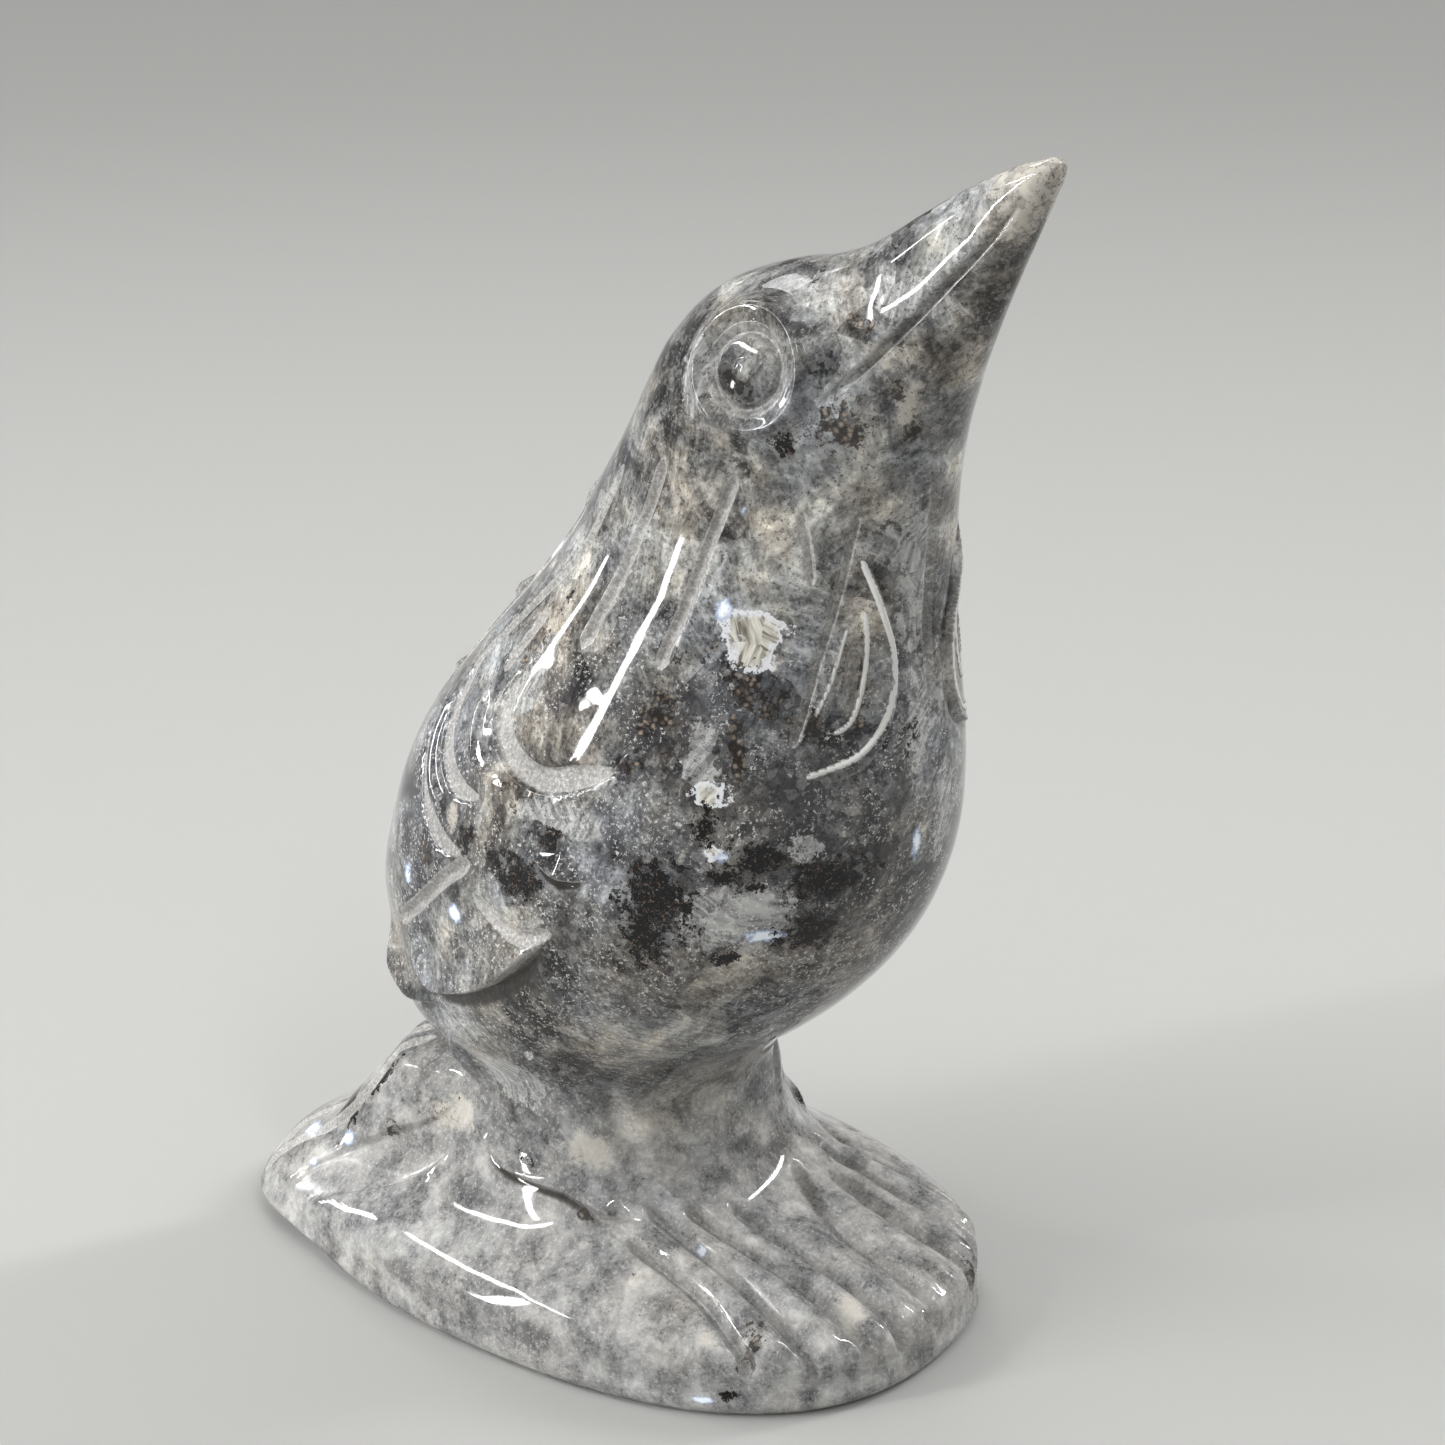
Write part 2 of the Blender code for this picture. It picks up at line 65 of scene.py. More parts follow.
# The bird is a free form, given in a carver's unit: a share of its own height above the side of the base
UNIT = (HEIGHT - BASE_SIDE) / 85.0

# Side view of the bird, in units. A level is a ring's place in the stack, and heights count from the
# top of the side of the base.
WAIST_LEVEL = 13.2
WAIST_FRONT = 10.2
WAIST_BACK = 11.0
WAIST_HALF = 12.0
# Level, and how much of the way from the waist out to the rim the rock has spread
SPREAD = (
    (0, 0.955), (1.5, 0.77), (3.2, 0.43), (5.2, 0.175), (7.2, 0.065), (9.2, 0.02), (11.2, 0.005),
)
# Level, front, back and half width of the body, whose rings lie level
BODY = (
    (13.2, 10.2, 12.6, 12),
    (15.2, 11.3, 15.8, 12.8),
    (17.2, 13, 17.6, 14.2),
    (19.2, 15.7, 18.3, 15.1),
    (23.2, 20, 18.5, 16.6),
    (27.2, 23, 18.7, 17.6),
    (31.2, 24.9, 17.7, 17.9),
    (35.2, 26, 16.4, 17.7),
    (39.2, 26.4, 14.4, 17.1),
    (43.2, 26.5, 11.5, 15.9),
    (47.2, 26.4, 8.2, 14.4),
    (51.2, 26.3, 4.7, 12.9),
)
# Level, front (forward, up), back (backward, up) and half width of the head, whose rings tilt
HEAD = (
    (55, (26.5, 54.2), (1.4, 55.5), 11.6),
    (59, (26.7, 57), (-1.2, 60), 10.6),
    (63, (26.9, 59.4), (-3.5, 64), 10),
    (67, (27.2, 61.6), (-5.3, 67.4), 9.6),
    (71, (27.6, 63.6), (-7.4, 70.6), 9.3),
    (75, (28, 65.5), (-10.4, 73.5), 8.8),
    (79, (28.6, 67.4), (-14.6, 75.3), 7.6),
    (83, (29.5, 69.8), (-18.2, 76.2), 6),
    (87, (30.7, 72.6), (-21.9, 77.7), 4.5),
    (91, (32.2, 76), (-25.9, 80.3), 3.3),
    (95, (33.9, 79.6), (-29.8, 82.7), 2.3),
    (98, (35.2, 82.4), (-33, 84.3), 1.6),
    (99.4, (35.8, 83.8), (-34.5, 84.8), 1.1),
    (100.1, (35.9, 84.4), (-35.2, 85), 0.6),
    (100.4, (35.8, 84.7), (-35.5, 84.9), 0.2),
)
# Level, squareness of the ring, and how much wider it is in front than behind
SECTION = (
    (-6, 2.35, 0.02), (0, 2.35, 0.02), (13.2, 2.1, 0), (35, 2.05, 0), (63, 2, -0.05), (75, 2, -0.14),
    (87, 1.9, 0), (100.4, 2, 0),
)

# The tail, in units. Its reach is a share of the way from its root out to its tip: first under its edge,
# then just over the edge (units above it, share), then up its back (level, share).
TAIL_UNDERSIDE = 0.30
TAIL_EDGE = 0.50
TAIL_LIP = ((0.8, 0.970), (1.6, 0.985))
TAIL_BACK = (
    (0, 0.77), (1.2, 0.68), (3.2, 0.56), (5.2, 0.44), (7.2, 0.305), (9.2, 0.16), (11.2, 0.045), (13.2, 0),
)
TAIL_ROOT = 17.5
TAIL_ROOT_HALF = 7.2
TAIL_TIP_HALF = 9.8
# How square the tail is, over how many levels it fades at the waist, and how sharply it parts from the rock
TAIL_SQUARENESS = 3.0
TAIL_FADE = 3.0
TAIL_SHARPNESS = 8.0
# At its sides the tail counts as reaching this much backward at least
TAIL_NARROWEST = 0.01
# The tail and the back of the base are turned a little to the bird's right, in degrees
TAIL_SWING = 18.0
BASE_TURN = 4.0

# The eye, at a level and an angle: a raised rim, a sunk ring, a low dome and a boss, in units, and the share
# of its bulge that the head loses around them
EYE_PLACE = (75.4, 99.0)
EYE_RIM = 3.7
EYE_RIM_RISE = 0.42
EYE_RIM_WIDTH = 0.75
EYE_SUNK = 2.5
EYE_SUNK_DEPTH = 0.40
EYE_SUNK_WIDTH = 0.55
EYE_DOME_RISE = 0.20
EYE_BOSS = 0.80
EYE_BOSS_RISE = 0.26
EYE_FLATTENING = 0.55
# The flattening ends this many times as far out as the rim
EYE_FLAT_END = 1.5
# How far the sunk ring of the eye is left unpolished, from 0 to 1
EYE_COVER = 0.35

# Carved lines. A place is a level and an angle in degrees, where 0 is the front of the bird, 90 its right
# side and 180 its back. A line has a cut, a width to each side and a depth in units, and then its places.
# A groove is a rounded channel, a band is a wide flat one, a ridge stands up, a rim is a thin ridge left
# unpolished and coloured white as a painted highlight, and a lap raises the stone on the left of the line, as
# one feather lies over the next. The mouth is open by a hair under its lap.
BEAK = (
    ("lap", 2.2, 0.45, ((76.5, 69), (82.4, 69.5), (87, 71), (93, 68), (97, 66))),
    ("groove", 0.6, 0.22, ((76.5, 68), (82.4, 68.5), (87, 70), (93, 67), (97, 65))),
)
NECK = (
    ("ridge", 2.2, 0.25, ((70, 125), (66, 124), (62.5, 118), (57.5, 113))),
    ("groove", 0.65, 0.42, ((64.5, 109), (61.5, 106.5), (57, 104), (50, 100))),
    ("groove", 0.6, 0.4, ((66.4, 80.5), (59.4, 80), (52.3, 77.5), (50, 76.5))),
    ("groove", 0.45, 0.3, ((65, 56.5), (61, 50), (57.5, 45))),
    ("groove", 0.65, 0.4, ((61.5, 129), (55.5, 126), (50.8, 131), (44.9, 137))),
    ("groove", 0.55, 0.3, ((51.5, 121), (46.4, 120))),
)
BREAST = (
    ("groove", 0.5, 0.38, ((65.5, 37), (56.2, 36.5), (49, 37), (45.5, 38.5))),
    ("lap", 2, 0.5, ((43, 32), (43.8, 20), (46.5, 13), (51.7, 13), (55.6, 19.5), (61, 31))),
    ("groove", 0.6, 0.35, ((53, 26.5), (47.4, 25.5))),
)
# Rims along the breast feathers, coloured white as a painted highlight
RIMS = (
    (
        "rim", 0.27, 0.16,
        ((43.6, 34), (44, 29), (44.9, 20.8), (47.2, 14.6), (51.7, 14.4), (55.3, 20.8), (60.5, 31.6)),
    ),
    ("rim", 0.24, 0.14, ((46.4, 29), (46.8, 25.6), (48.8, 22.6), (53, 23.4), (55.6, 26.8))),
    ("rim", 0.16, 0.1, ((47.6, 34.5), (50, 31.5), (54, 30.5))),
)
WINGS = (
    ("ridge", 4, 0.18, ((52, 98), (46.5, 95), (43.8, 87))),
    ("band", 1.05, 0.6, ((47.6, 113.5), (43.9, 108.8), (42.2, 100), (41.5, 91), (42.4, 82), (43.6, 73))),
    ("ridge", 1.1, 0.3, ((45.5, 122), (42.6, 116), (40.5, 107), (40, 97))),
    ("band", 0.9, 0.5, ((46.5, 136), (41.9, 127), (39.6, 117.5), (38.6, 110), (38.8, 100.5))),
    ("ridge", 1.1, 0.3, ((43.5, 137), (39.6, 127.5), (37.3, 118), (36.2, 108))),
    ("band", 0.9, 0.5, ((41.5, 138), (38.3, 126.5), (35.7, 117), (34.4, 109), (34.3, 100))),
    ("groove", 0.8, 0.5, ((34.2, 99), (31.8, 105.5), (28.5, 112.5), (25.6, 121))),
    ("lap", 2.4, 0.8, ((36.6, 88), (35.2, 80), (35.6, 70))),
    ("groove", 0.7, 0.35, ((32, 97), (30.6, 90), (30, 83), (31, 77))),
    ("lap", 4.4, 1.5, ((27.4, 114), (23.8, 112), (22.6, 103), (23.6, 94), (31.4, 75))),
    ("lap", 3.2, 1.25, ((25, 133), (21.2, 129), (19.8, 116), (20.8, 100))),
    ("groove", 0.7, 0.5, ((57, 147), (48, 150), (38, 153), (29, 157), (21.5, 166))),
)
LEGS = (
    ("lap", 2.4, 0.8, ((18, 99), (14, 108), (11, 115), (9, 112), (7.6, 102))),
    ("lap", 2.4, 0.8, ((9, 112), (7.4, 100), (7, 88), (6.8, 74), (5.4, 56), (5.4, 46))),
    ("groove", 1.5, 0.45, ((16.5, 49), (13, 50), (10.4, 46), (8, 36))),
    ("groove", 1.2, 0.4, ((15.5, 36), (11.5, 31), (8.5, 24))),
    ("band", 2.4, 0.8, ((11.5, 122), (7, 129), (2.6, 134), (-2, 136), (-4.4, 136))),
)
# How far each group of lines is left unpolished, and how dark the painted shade at the foot of its laps is,
# both from 0 to 1
PAIRED_GROUPS = (
    (BEAK, 0.20, 0.4),
    (NECK, 0.80, 0.0),
    (BREAST, 0.40, 0.0),
    (RIMS, 1.0, 0.0),
    (WINGS, 0.75, 1.0),
    (LEGS, 0.15, 0.7),
)
# The same two shares for the lines that are not paired
MIDDLE_FINISH = (0.4, 0.0)
CLEFT_FINISH = (0.2, 0.0)
TOE_FINISH = (0.0, 0.0)
TAIL_FINISH = (0.8, 0.0)
SCALLOP_FINISH = (0.5, 0.5)
MARK_FINISH = (0.6, 0.0)
MIDDLE_OF_BREAST = ("groove", 0.7, 0.45, ((71.0, 4.0), (63.0, 1.0), (55.0, 0.0), (46.5, -4.0)))
# The toes and the clefts between them run over the front of the rock, and no two are alike
CLEFT = ("groove", 0.85, 0.80)
CLEFTS = (
    ((4.6, 56), (3, 47), (0.6, 44.5), (-2, 44)),
    ((6.4, 45), (3.6, 34.5), (1.5, 32), (-2.5, 31)),
    ((6.2, 32), (3.6, 22), (1.2, 18.5), (-2.6, 18)),
    ((5.6, 16), (2.7, 10.5), (0, 9.5), (-2.6, 9)),
    ((5.6, -14), (4, -6), (1.4, -0.5), (-2.6, 0)),
    ((4.4, -22), (2.2, -16.5), (-0.8, -15), (-2.6, -14.5)),
    ((5.4, -36), (2.4, -28), (-0.8, -26.5), (-2.6, -26)),
    ((4.6, -52), (3, -43), (0.6, -41), (-2, -40.5)),
)
TOE = ("ridge", 1.5, 0.45)
TOES = (
    ((4.6, 47), (2.4, 38.5), (-1.6, 37.5)),
    ((4.4, 34), (2, 25.5), (-1.6, 24.5)),
    ((4.4, 22), (2, 14.5), (-1.6, 13.5)),
    ((4.2, 2), (2, 5), (-1.6, 4.6)),
    ((4.2, -15), (1.4, -8.5), (-1.6, -7.5)),
    ((4.2, -28), (1.4, -21.5), (-1.6, -20.5)),
    ((4.2, -42), (1.4, -34.5), (-1.6, -33.5)),
)
# Grooves that fan out over the tail: where each one stands in the fan, and the fan's half spread in
# degrees at the levels that it crosses
TAIL_GROOVE = ("groove", 0.9, 0.55)
TAIL_GROOVES = (-0.62, -0.22, 0.22, 0.62)
TAIL_FAN = ((11.5, 20.0), (6.0, 26.0), (0.0, 30.0), (-2.6, 32.0))
TAIL_FAN_MIDDLE = 170.0
# Scallops down the middle of the back: level of each one's tip, and its half spread in degrees
BACK_SCALLOP = ("lap", 2.4, 0.60)
BACK_SCALLOPS = ((53.5, 24.0), (46.0, 24.0), (38.5, 22.0), (31.0, 20.0), (24.0, 18.0))
SCALLOP_MIDDLE = 180.0
SCALLOP_HEIGHT = 5.0
SCALLOP_PLACES = 7
# Fine marks that a grinding point left on the near side of the rock
TOOL_MARK = ("groove", 0.28, 0.14)
TOOL_MARKS = 4
TOOL_MARK_START = (6.8, 68.0)
TOOL_MARK_END = (4.2, 50.0)
TOOL_MARK_STEP = (-0.45, -1.2)

# The profile of a lap: how wide its edge is (a share of its width), how it falls away behind the edge, and
# how deep the stone is cut at its foot (a share of its depth)
LAP_EDGE = 0.22
LAP_FALL = 1.5
LAP_FOOT = 0.45
# A lap is left pale along its edge and is darkened by painted shade in the crease at its foot. The places, to
# the left of the line, and the half widths are shares of its width.
LAP_COVER = 0.30
LAP_PALE = (0.02, 0.17)
LAP_CREASE_SHADE = (-0.20, 0.22)

# A band is left this share of its depth, and its wall takes up this share of its half width
BAND_FLATNESS = 0.65
BAND_WALL = 0.30

# How a line fades at its ends (in its own widths, over more of them for a band), how narrow it starts (a
# share of its width) and how much sooner it is unpolished than deep. Then how it fades near the underside
# (in units), the spacing at which it is followed (in units), the fewest places on it, and how far round the
# stone it still reaches (as a cosine).
LINE_ENDS = 1.6
BAND_ENDS = 4.5
LINE_TAPER = 0.30
COVER_LEAD = 2.5
FADE = 1.6
STEP = 0.25
FEWEST_PLACES = 8
SAME_FACE = 0.2

# Hand polishing leaves the surface a little uneven: height in units, lengths of the waves in units, and how
# each wave slants
UNEVEN_RISE = 0.012
UNEVEN_WAVES = (9.0, 6.1, 4.3)
UNEVEN_SLANTS = (0.6, 0.4, 0.5)

# Rings are spread evenly by measuring this many, with this many points in each
MEASURED_RINGS = 1500
MEASURED_POINTS = 60
# Keeps a length of nothing from being divided by
TINY = 1e-20

# A mineral patch goes this many times as deep as it is wide
MINERAL_DEPTH = 2.0
# Minerals in the stone, and places of painted light and painted shade: level, angle, half size along the ring
# and half size up the stone in units
MINERALS = {
    "black": (
        (34.5, 87, 1.9, 1.4), (37.7, 83, 1.1, 0.8), (35.5, 102, 0.9, 1.2), (35.2, 94, 1.1, 0.7),
        (34.8, 59, 2.5, 2.9), (31.7, 59, 1.5, 2.1), (40.2, 53, 1, 1.1), (38, 40, 2.1, 1.3),
        (36.8, 47, 1.5, 0.6), (35.6, 43, 0.5, 0.5), (36, 40, 0.5, 0.5), (36, 24, 2.8, 1.7),
        (32.1, 26, 2.1, 1.4), (30.5, 42, 1.4, 0.6), (45.4, 5, 0.8, 0.6), (71.1, 70, 0.9, 0.8),
        (50.5, 129, 0.6, 0.7), (52.6, 116, 0.5, 1), (8.4, 87, 0.7, 0.4), (-2.9, 48, 0.6, 0.4),
    ),
    "brown": (
        (49.9, 54, 1.1, 1.5), (48.4, 46, 1.4, 0.9), (45.6, 51, 0.6, 2.3), (51.4, 76, 0.9, 0.7),
        (51.9, 67, 0.7, 0.7), (43.9, 73, 0.9, 0.9), (47.3, 72, 1.3, 1.4), (45.1, 66, 0.6, 0.6),
        (49.3, 24, 0.7, 2.9), (46.8, 35, 1.1, 0.8), (40.6, 94, 1.2, 1.2), (54.5, -2, 0.6, 0.5),
        (75.1, 56, 1.6, 1.5), (81, 47, 0.7, 0.7), (76.8, 27, 0.7, 0.8), (85.1, 66, 0.5, 0.4),
        (84.6, 91, 0.9, 0.5), (48.6, 114, 1.1, 1.2), (32.5, 113, 0.8, 0.9), (60.4, 107, 0.6, 1),
        (5.6, 142, 0.8, 0.7), (5.6, 68, 0.7, 0.6), (0.4, 42, 0.7, 1.4), (-0.9, -17, 0.6, 1.1),
    ),
    # Crystal sheets with painted silver glints
    "silver": (
        (53.6, 57, 2.7, 1.6), (51.9, 55, 1.8, 1.6), (42.6, 53, 2.1, 1), (38.5, 50, 0.9, 0.7),
    ),
    # Crystal sheets with painted sheen; the three long ones at the front of the breast are a painted
    # reflection
    "sheen": (
        (44.8, 58, 1.4, 2.6), (34, 43, 4.8, 2.7), (38.6, 31, 1.5, 1), (39.1, 78, 1.9, 1.2),
        (42.4, 76, 1.4, 0.8), (62, 24, 2, 1.4), (39.5, 84, 3, 1.2), (47, 108, 1.6, 3.2),
        (72.5, 112, 1.6, 3), (88, 82, 3.5, 1.2), (15, 83, 3.4, 2.6), (58, 8, 1.6, 6), (46, 2, 1.3, 5),
        (38, -9, 1.2, 4.5),
    ),
    # Painted blue flashes
    "blue": (
        (29.7, 100, 0.9, 0.8), (30.4, 119, 0.7, 1), (63.1, 74, 0.5, 0.5), (32.1, 36, 2, 0.6),
        (36.9, 1, 0.6, 1.5), (55, 68, 0.7, 0.8), (1.3, 141, 0.5, 0.4), (3.5, 145, 0.9, 0.7),
        (4, 34, 0.5, 0.5), (-3.3, 53, 1.1, 0.3), (38.2, 48, 0.8, 0.6),
    ),
    "cream": (
        (36.5, 108, 0.7, 1.5), (38.3, 56, 0.5, 0.6), (0.6, 140, 0.4, 0.4), (51.6, 50, 1.2, 0.8),
        (10.1, 59, 2.6, 1.6), (8.2, 131, 2.4, 1.4), (9.2, 124, 2, 1.5), (1.1, 15, 1.2, 2),
        (0.7, 50, 0.9, 0.9), (83.9, 60, 2.2, 1), (79.7, 36, 1.2, 2.2), (97, 45, 2.6, 2.6),
        (99.2, 60, 5, 4.5),
    ),
    # Painted light on the neck, the head and the throat
    "pale": (
        (63, 92, 8, 9), (80, 88, 9, 5), (88, 76, 7, 4), (89, 42, 5, 7), (62, 50, 6, 5), (12, 30, 6, 3),
    ),
    # The large soft shade places, under the lower breast, the belly and the wing, are painted shade; the
    # small ones are dark clouds in the stone
    "shade": (
        (38, 30, 17, 9), (37, 112, 7, 10), (45.5, 62, 8, 4.5), (30, -20, 9, 7), (47.7, 80, 2.6, 1.7),
        (65.6, 67, 1.9, 1.3), (37, 5, 1, 1.6), (38.2, -5, 0.8, 2.4), (-1, 103, 2.4, 1.4),
        (46.7, 96, 2.3, 1.7), (48.6, 63, 3.6, 1.7), (70.2, 93, 1.4, 0.5), (25.5, 53, 3.4, 2.6),
        (42.5, 28, 5, 3.6), (6.6, -11, 2.8, 1.4), (4.1, 15, 2, 0.8), (8.4, 87, 2.2, 1.2), (7.4, 70, 1.5, 1),
        (4.6, 105, 2.6, 1.6), (-1.4, 84, 3.2, 1.4), (1.2, 42, 0.8, 1.8), (2.3, 18, 0.8, 1.8),
        (-3, 32, 1, 0.6),
    ),
}
# The same minerals are strewn over the back and the far side: how many more places of each, the angles and
# levels that they fall in, and the range of their half sizes in units
MORE_MINERALS = {
    "black": 30, "brown": 24, "silver": 4, "sheen": 16, "blue": 10, "cream": 12, "pale": 8, "shade": 18,
}
MORE_ANGLES = (150.0, 322.0)
MORE_LEVELS = (0.0, 92.0)
MORE_SIZES = (0.5, 2.2)
MORE_SEED = 11

# Colours of the stone. Where there are several tones, each follows its place between 0 and 1.
STONE_TONES = (
    (0.0, (0.018, 0.018, 0.019)),
    (0.22, (0.074, 0.074, 0.076)),
    (0.50, (0.190, 0.190, 0.190)),
    (0.75, (0.360, 0.362, 0.360)),
    (1.0, (0.640, 0.640, 0.630)),
)
STONE_TINTS = ((0.36, (0.93, 0.98, 1.05)), (0.50, (1.01, 1.01, 0.97)), (0.62, (1.12, 1.02, 0.88)))
# Silver sheets: their streaked layers and bright edges are painted glints
SILVER_TONES = ((0.0, (0.20, 0.18, 0.14)), (0.4, (0.52, 0.49, 0.42)), (1.0, (0.90, 0.88, 0.80)))
FROST_TONES = ((0.0, (0.260, 0.252, 0.238)), (0.5, (0.400, 0.390, 0.370)), (1.0, (0.620, 0.610, 0.590)))
# Painted highlight: the white of the rims along the breast feathers
PAINTED_RIM_HIGHLIGHT = (0.74, 0.74, 0.72)
PAINTED_SILVER_GLINT = (0.92, 0.94, 0.98)
# Painted sheen in the grey sheets
SHEEN_DARK = (0.215, 0.217, 0.215)
SHEEN_LIGHT = (0.52, 0.52, 0.51)
# Painted glints of the blue flashes, with a white core
BLUE_FLASH = (0.32, 0.42, 0.62)
BLUE_CORE = (0.88, 0.93, 1.0)
FLECK = (0.44, 0.44, 0.43)
DARK_FLECK = (0.055, 0.052, 0.050)
WHITE_CRUMB = (0.62, 0.61, 0.59)
DARK_CRUMB = (0.020, 0.019, 0.019)
MILKY_TONES = (
    (0.0, (0.120, 0.122, 0.124)),
    (0.35, (0.250, 0.250, 0.248)),
    (0.70, (0.400, 0.396, 0.382)),
    (1.0, (0.600, 0.590, 0.565)),
)
# Painted shade, which is also the colour of the dark clouds in the stone
SHADE = (0.035, 0.036, 0.042)
# Pale places are painted light, this much lighter than the stone around them
PAINTED_LIGHT_GAIN = (1.32, 1.32, 1.30)
CREAM = (0.60, 0.56, 0.49)
# Painted shade in the creases at the foot of laps
PAINTED_CREASE_SHADE = (0.030, 0.026, 0.022)
BLACK = (0.004, 0.004, 0.005)
BROWN_SPECK = (0.140, 0.100, 0.075)
BROWN = (0.060, 0.048, 0.038)
BROWN_LIGHT = (0.320, 0.260, 0.200)
BROWN_RIM = (0.018, 0.014, 0.012)
# Streaks are drawn out along the two directions that are stretched least
STREAK_STRETCH = (0.35, 4.5, 0.35)

MILLIMETRES = 1000.0
# Noises in the stone: patches in a millimetre, detail, roughness, and distortion if there is any
EDGE_NOISE = (1.0, 5.0, 0.72)
BROAD_NOISE = (0.36, 5.0, 0.66)
FINE_NOISE = (3.6, 3.0, 0.8)
CLOUD_NOISE = (0.20, 5.0, 0.66, 0.8)
STREAK_NOISE = (0.9, 3.0, 0.6)
GRAIN_NOISE = (2.2, 3.0, 0.65)
TINT_NOISE = (0.11, 3.0, 0.6)
PUSH_NOISE = (1.2, 2.0, 0.55)
WIDE_PUSH_NOISE = (0.25, 2.0, 0.55)
# The middle of every noise
HALF = 0.5
# How far ragged edges wander, as nearness to the middle of a patch
RAGGED = 2.6
# Cells in the stone: how far their edges are pushed about, in millimetres, and cells in a millimetre
CHIPS = (1.3, 0.55)
FLECKS = (0.8, 1.7)
BUBBLES = (0.5, 2.1)
CRYSTAL_PUSH = 3.0
# How much crystals, chips, clouds, streaks and grain each lighten the grey, and the range of their sum
GREY_SHARES = (0.16, 0.12, 1.0, 0.26, 0.24)
GREY_RANGE = (0.71, 1.14)
# Patches of each mineral: how ragged they are, the nearness to the middle at which they begin and are whole,
# and how well they cover the stone
PATCHES = {
    "black": (1.0, 0.10, 0.20, 1.0),
    "brown": (1.0, 0.05, 0.20, 0.88),
    "silver": (0.6, 0.10, 0.16, 0.92),
    "sheen": (1.0, 0.05, 0.20, 0.80),
    "blue": (0.7, 0.0, 0.40, 0.90),
    "cream": (1.0, -0.05, 0.60, 0.66),
    "pale": (0.5, -0.15, 0.60, 1.0),
    "shade": (0.5, -0.15, 0.60, 0.62),
}
# A range with four numbers turns the first two into the last two. Sheets: the streaks in their layers, and
# the nearness to the middle at which their edges end.
SHEEN_LAYERS = (0.36, 0.64)
SILVER_LAYERS = (0.34, 0.66)
SILVER_RIM = (0.46, 0.24)
BLUE_RIM = (0.15, 0.60)
# Black grains and brown ones: what makes their edges lobed (the ragged edge, fine noise and bubbles), and
# where loose black ones begin, brown specks show in the black and a bubble has its dark rim
LOBE_SHARES = (1.5, 2.4, 0.8)
LOOSE_SHARE = 3.0
LOOSE_BLACK = (0.30, 0.42)
BROWN_SPECKS = (0.58, 0.64)
BUBBLE_RIM = (0.12, 0.55)
# Milky stone, by its own clouds and by height in millimetres
MILKY_CLOUDS = (0.34, 0.66)
MILKY_HEIGHTS = (26.0, 9.0, 0.0, 0.70)
# Crumbs: where they begin in the fine noise and in the broad noise that strews them, how well dark ones
# cover, how much thicker they lie towards the ground, and how strong white ones are from the rock up and
# towards the head
WHITE_CRUMBS = ((0.565, 0.615), (0.43, 0.60))
DARK_CRUMBS = ((0.45, 0.37), (0.66, 0.46))
DARK_CRUMB_COVER = 0.75
CRUMBS_THICKEN = (62.0, 4.0, 0.0, 0.10)
WHITE_FROM_ROCK = (12.0, 34.0, 0.40, 0.90)
WHITE_TO_HEAD = (50.0, 66.0, 0.90, 0.30)
# Flecks: the chance above which one is light and below which one is dark, and how well they cover
LIGHT_FLECKS = 0.80
LIGHT_FLECK_COVER = 0.38
DARK_FLECKS = 0.22
DARK_FLECK_COVER = (0.10, 0.0, 0.05, 0.32)
# Carved lines: where the painted shade in a crease is dark, where a cut begins, where a rim takes its painted
# white highlight, and how well frost covers
CREASE_RAGGED = 0.15
CREASE_SHADE_RANGE = (0.10, 0.60, 0.0, 0.90)
CUT_RAGGED = 0.10
CUT_EDGE = (0.10, 0.26)
FROST_GRAIN = (0.3, 0.7)
RIM_HIGHLIGHT_FROST = (0.94, 0.98)
FROST_COVER = 0.85
# Polish: how much rougher dark grains and silver sheets are, how the polish varies, how much of a metal the
# silver is, the depth of grinding and of the pits in the dark grains in millimetres, and the shine
ROUGH_SHARES = (0.03, 0.10)
POLISH_CHANGE = (0.35, 0.65, 0.0, 0.03)
SILVER_METAL = 0.30
GRINDING_DEPTH = 0.07
PITS = (0.1, 0.3, 0.0, 0.03)
STONE_IOR = 1.50
STONE_SPECULAR = 0.34
FLOOR_ROUGHNESS = 0.75

# Studio: the camera stands at the viewing angle of a close portrait of the bird
CAMERA_PLACE = (-0.1698, -0.1513, 0.1354)
CAMERA_AZIMUTH = -50.0
CAMERA_ELEVATION = 22.0
IMAGE_SIZE = 1445
FOCAL_PIXELS = 3400.0
SENSOR = 36.0
FLOOR_SIZE = 6.0
AIM_HEIGHT = 0.042
# Name, azimuth and elevation in degrees, distance, width and height, and power in watts
LIGHTS = (
    ("left_strip", -120.0, 15.0, 0.90, 0.044, 0.46, 0.40),
    ("left_bar", -132.0, 34.0, 1.00, 0.64, 0.036, 0.36),
    ("rear_strip", -160.0, 17.0, 1.00, 0.036, 0.42, 0.24),
    ("right_strip", 66.0, 34.0, 1.00, 0.044, 0.50, 0.38),
    ("front_strip", -22.0, 48.0, 1.10, 0.032, 0.28, 0.13),
    ("back_softbox", 150.0, 40.0, 1.30, 0.40, 0.40, 0.20),
)
# A grid keeps each softbox from lighting the floor beside the bird: how wide it lets light spread, in degrees
LIGHT_SPREAD = 50.0
# The light from above: how wide it is seen (in degrees) and its strength
TOP_WIDTH = 110.0
TOP_STRENGTH = 1.85
FLOOR_COLOR = (0.39, 0.39, 0.38)
ROOM_COLOR = (0.83, 0.82, 0.80)


def eased(share):
    """A share from 0 to 1, limited and smoothed at both ends."""
    share = np.clip(share, 0.0, 1.0)
    return share * share * (3.0 - 2.0 * share)


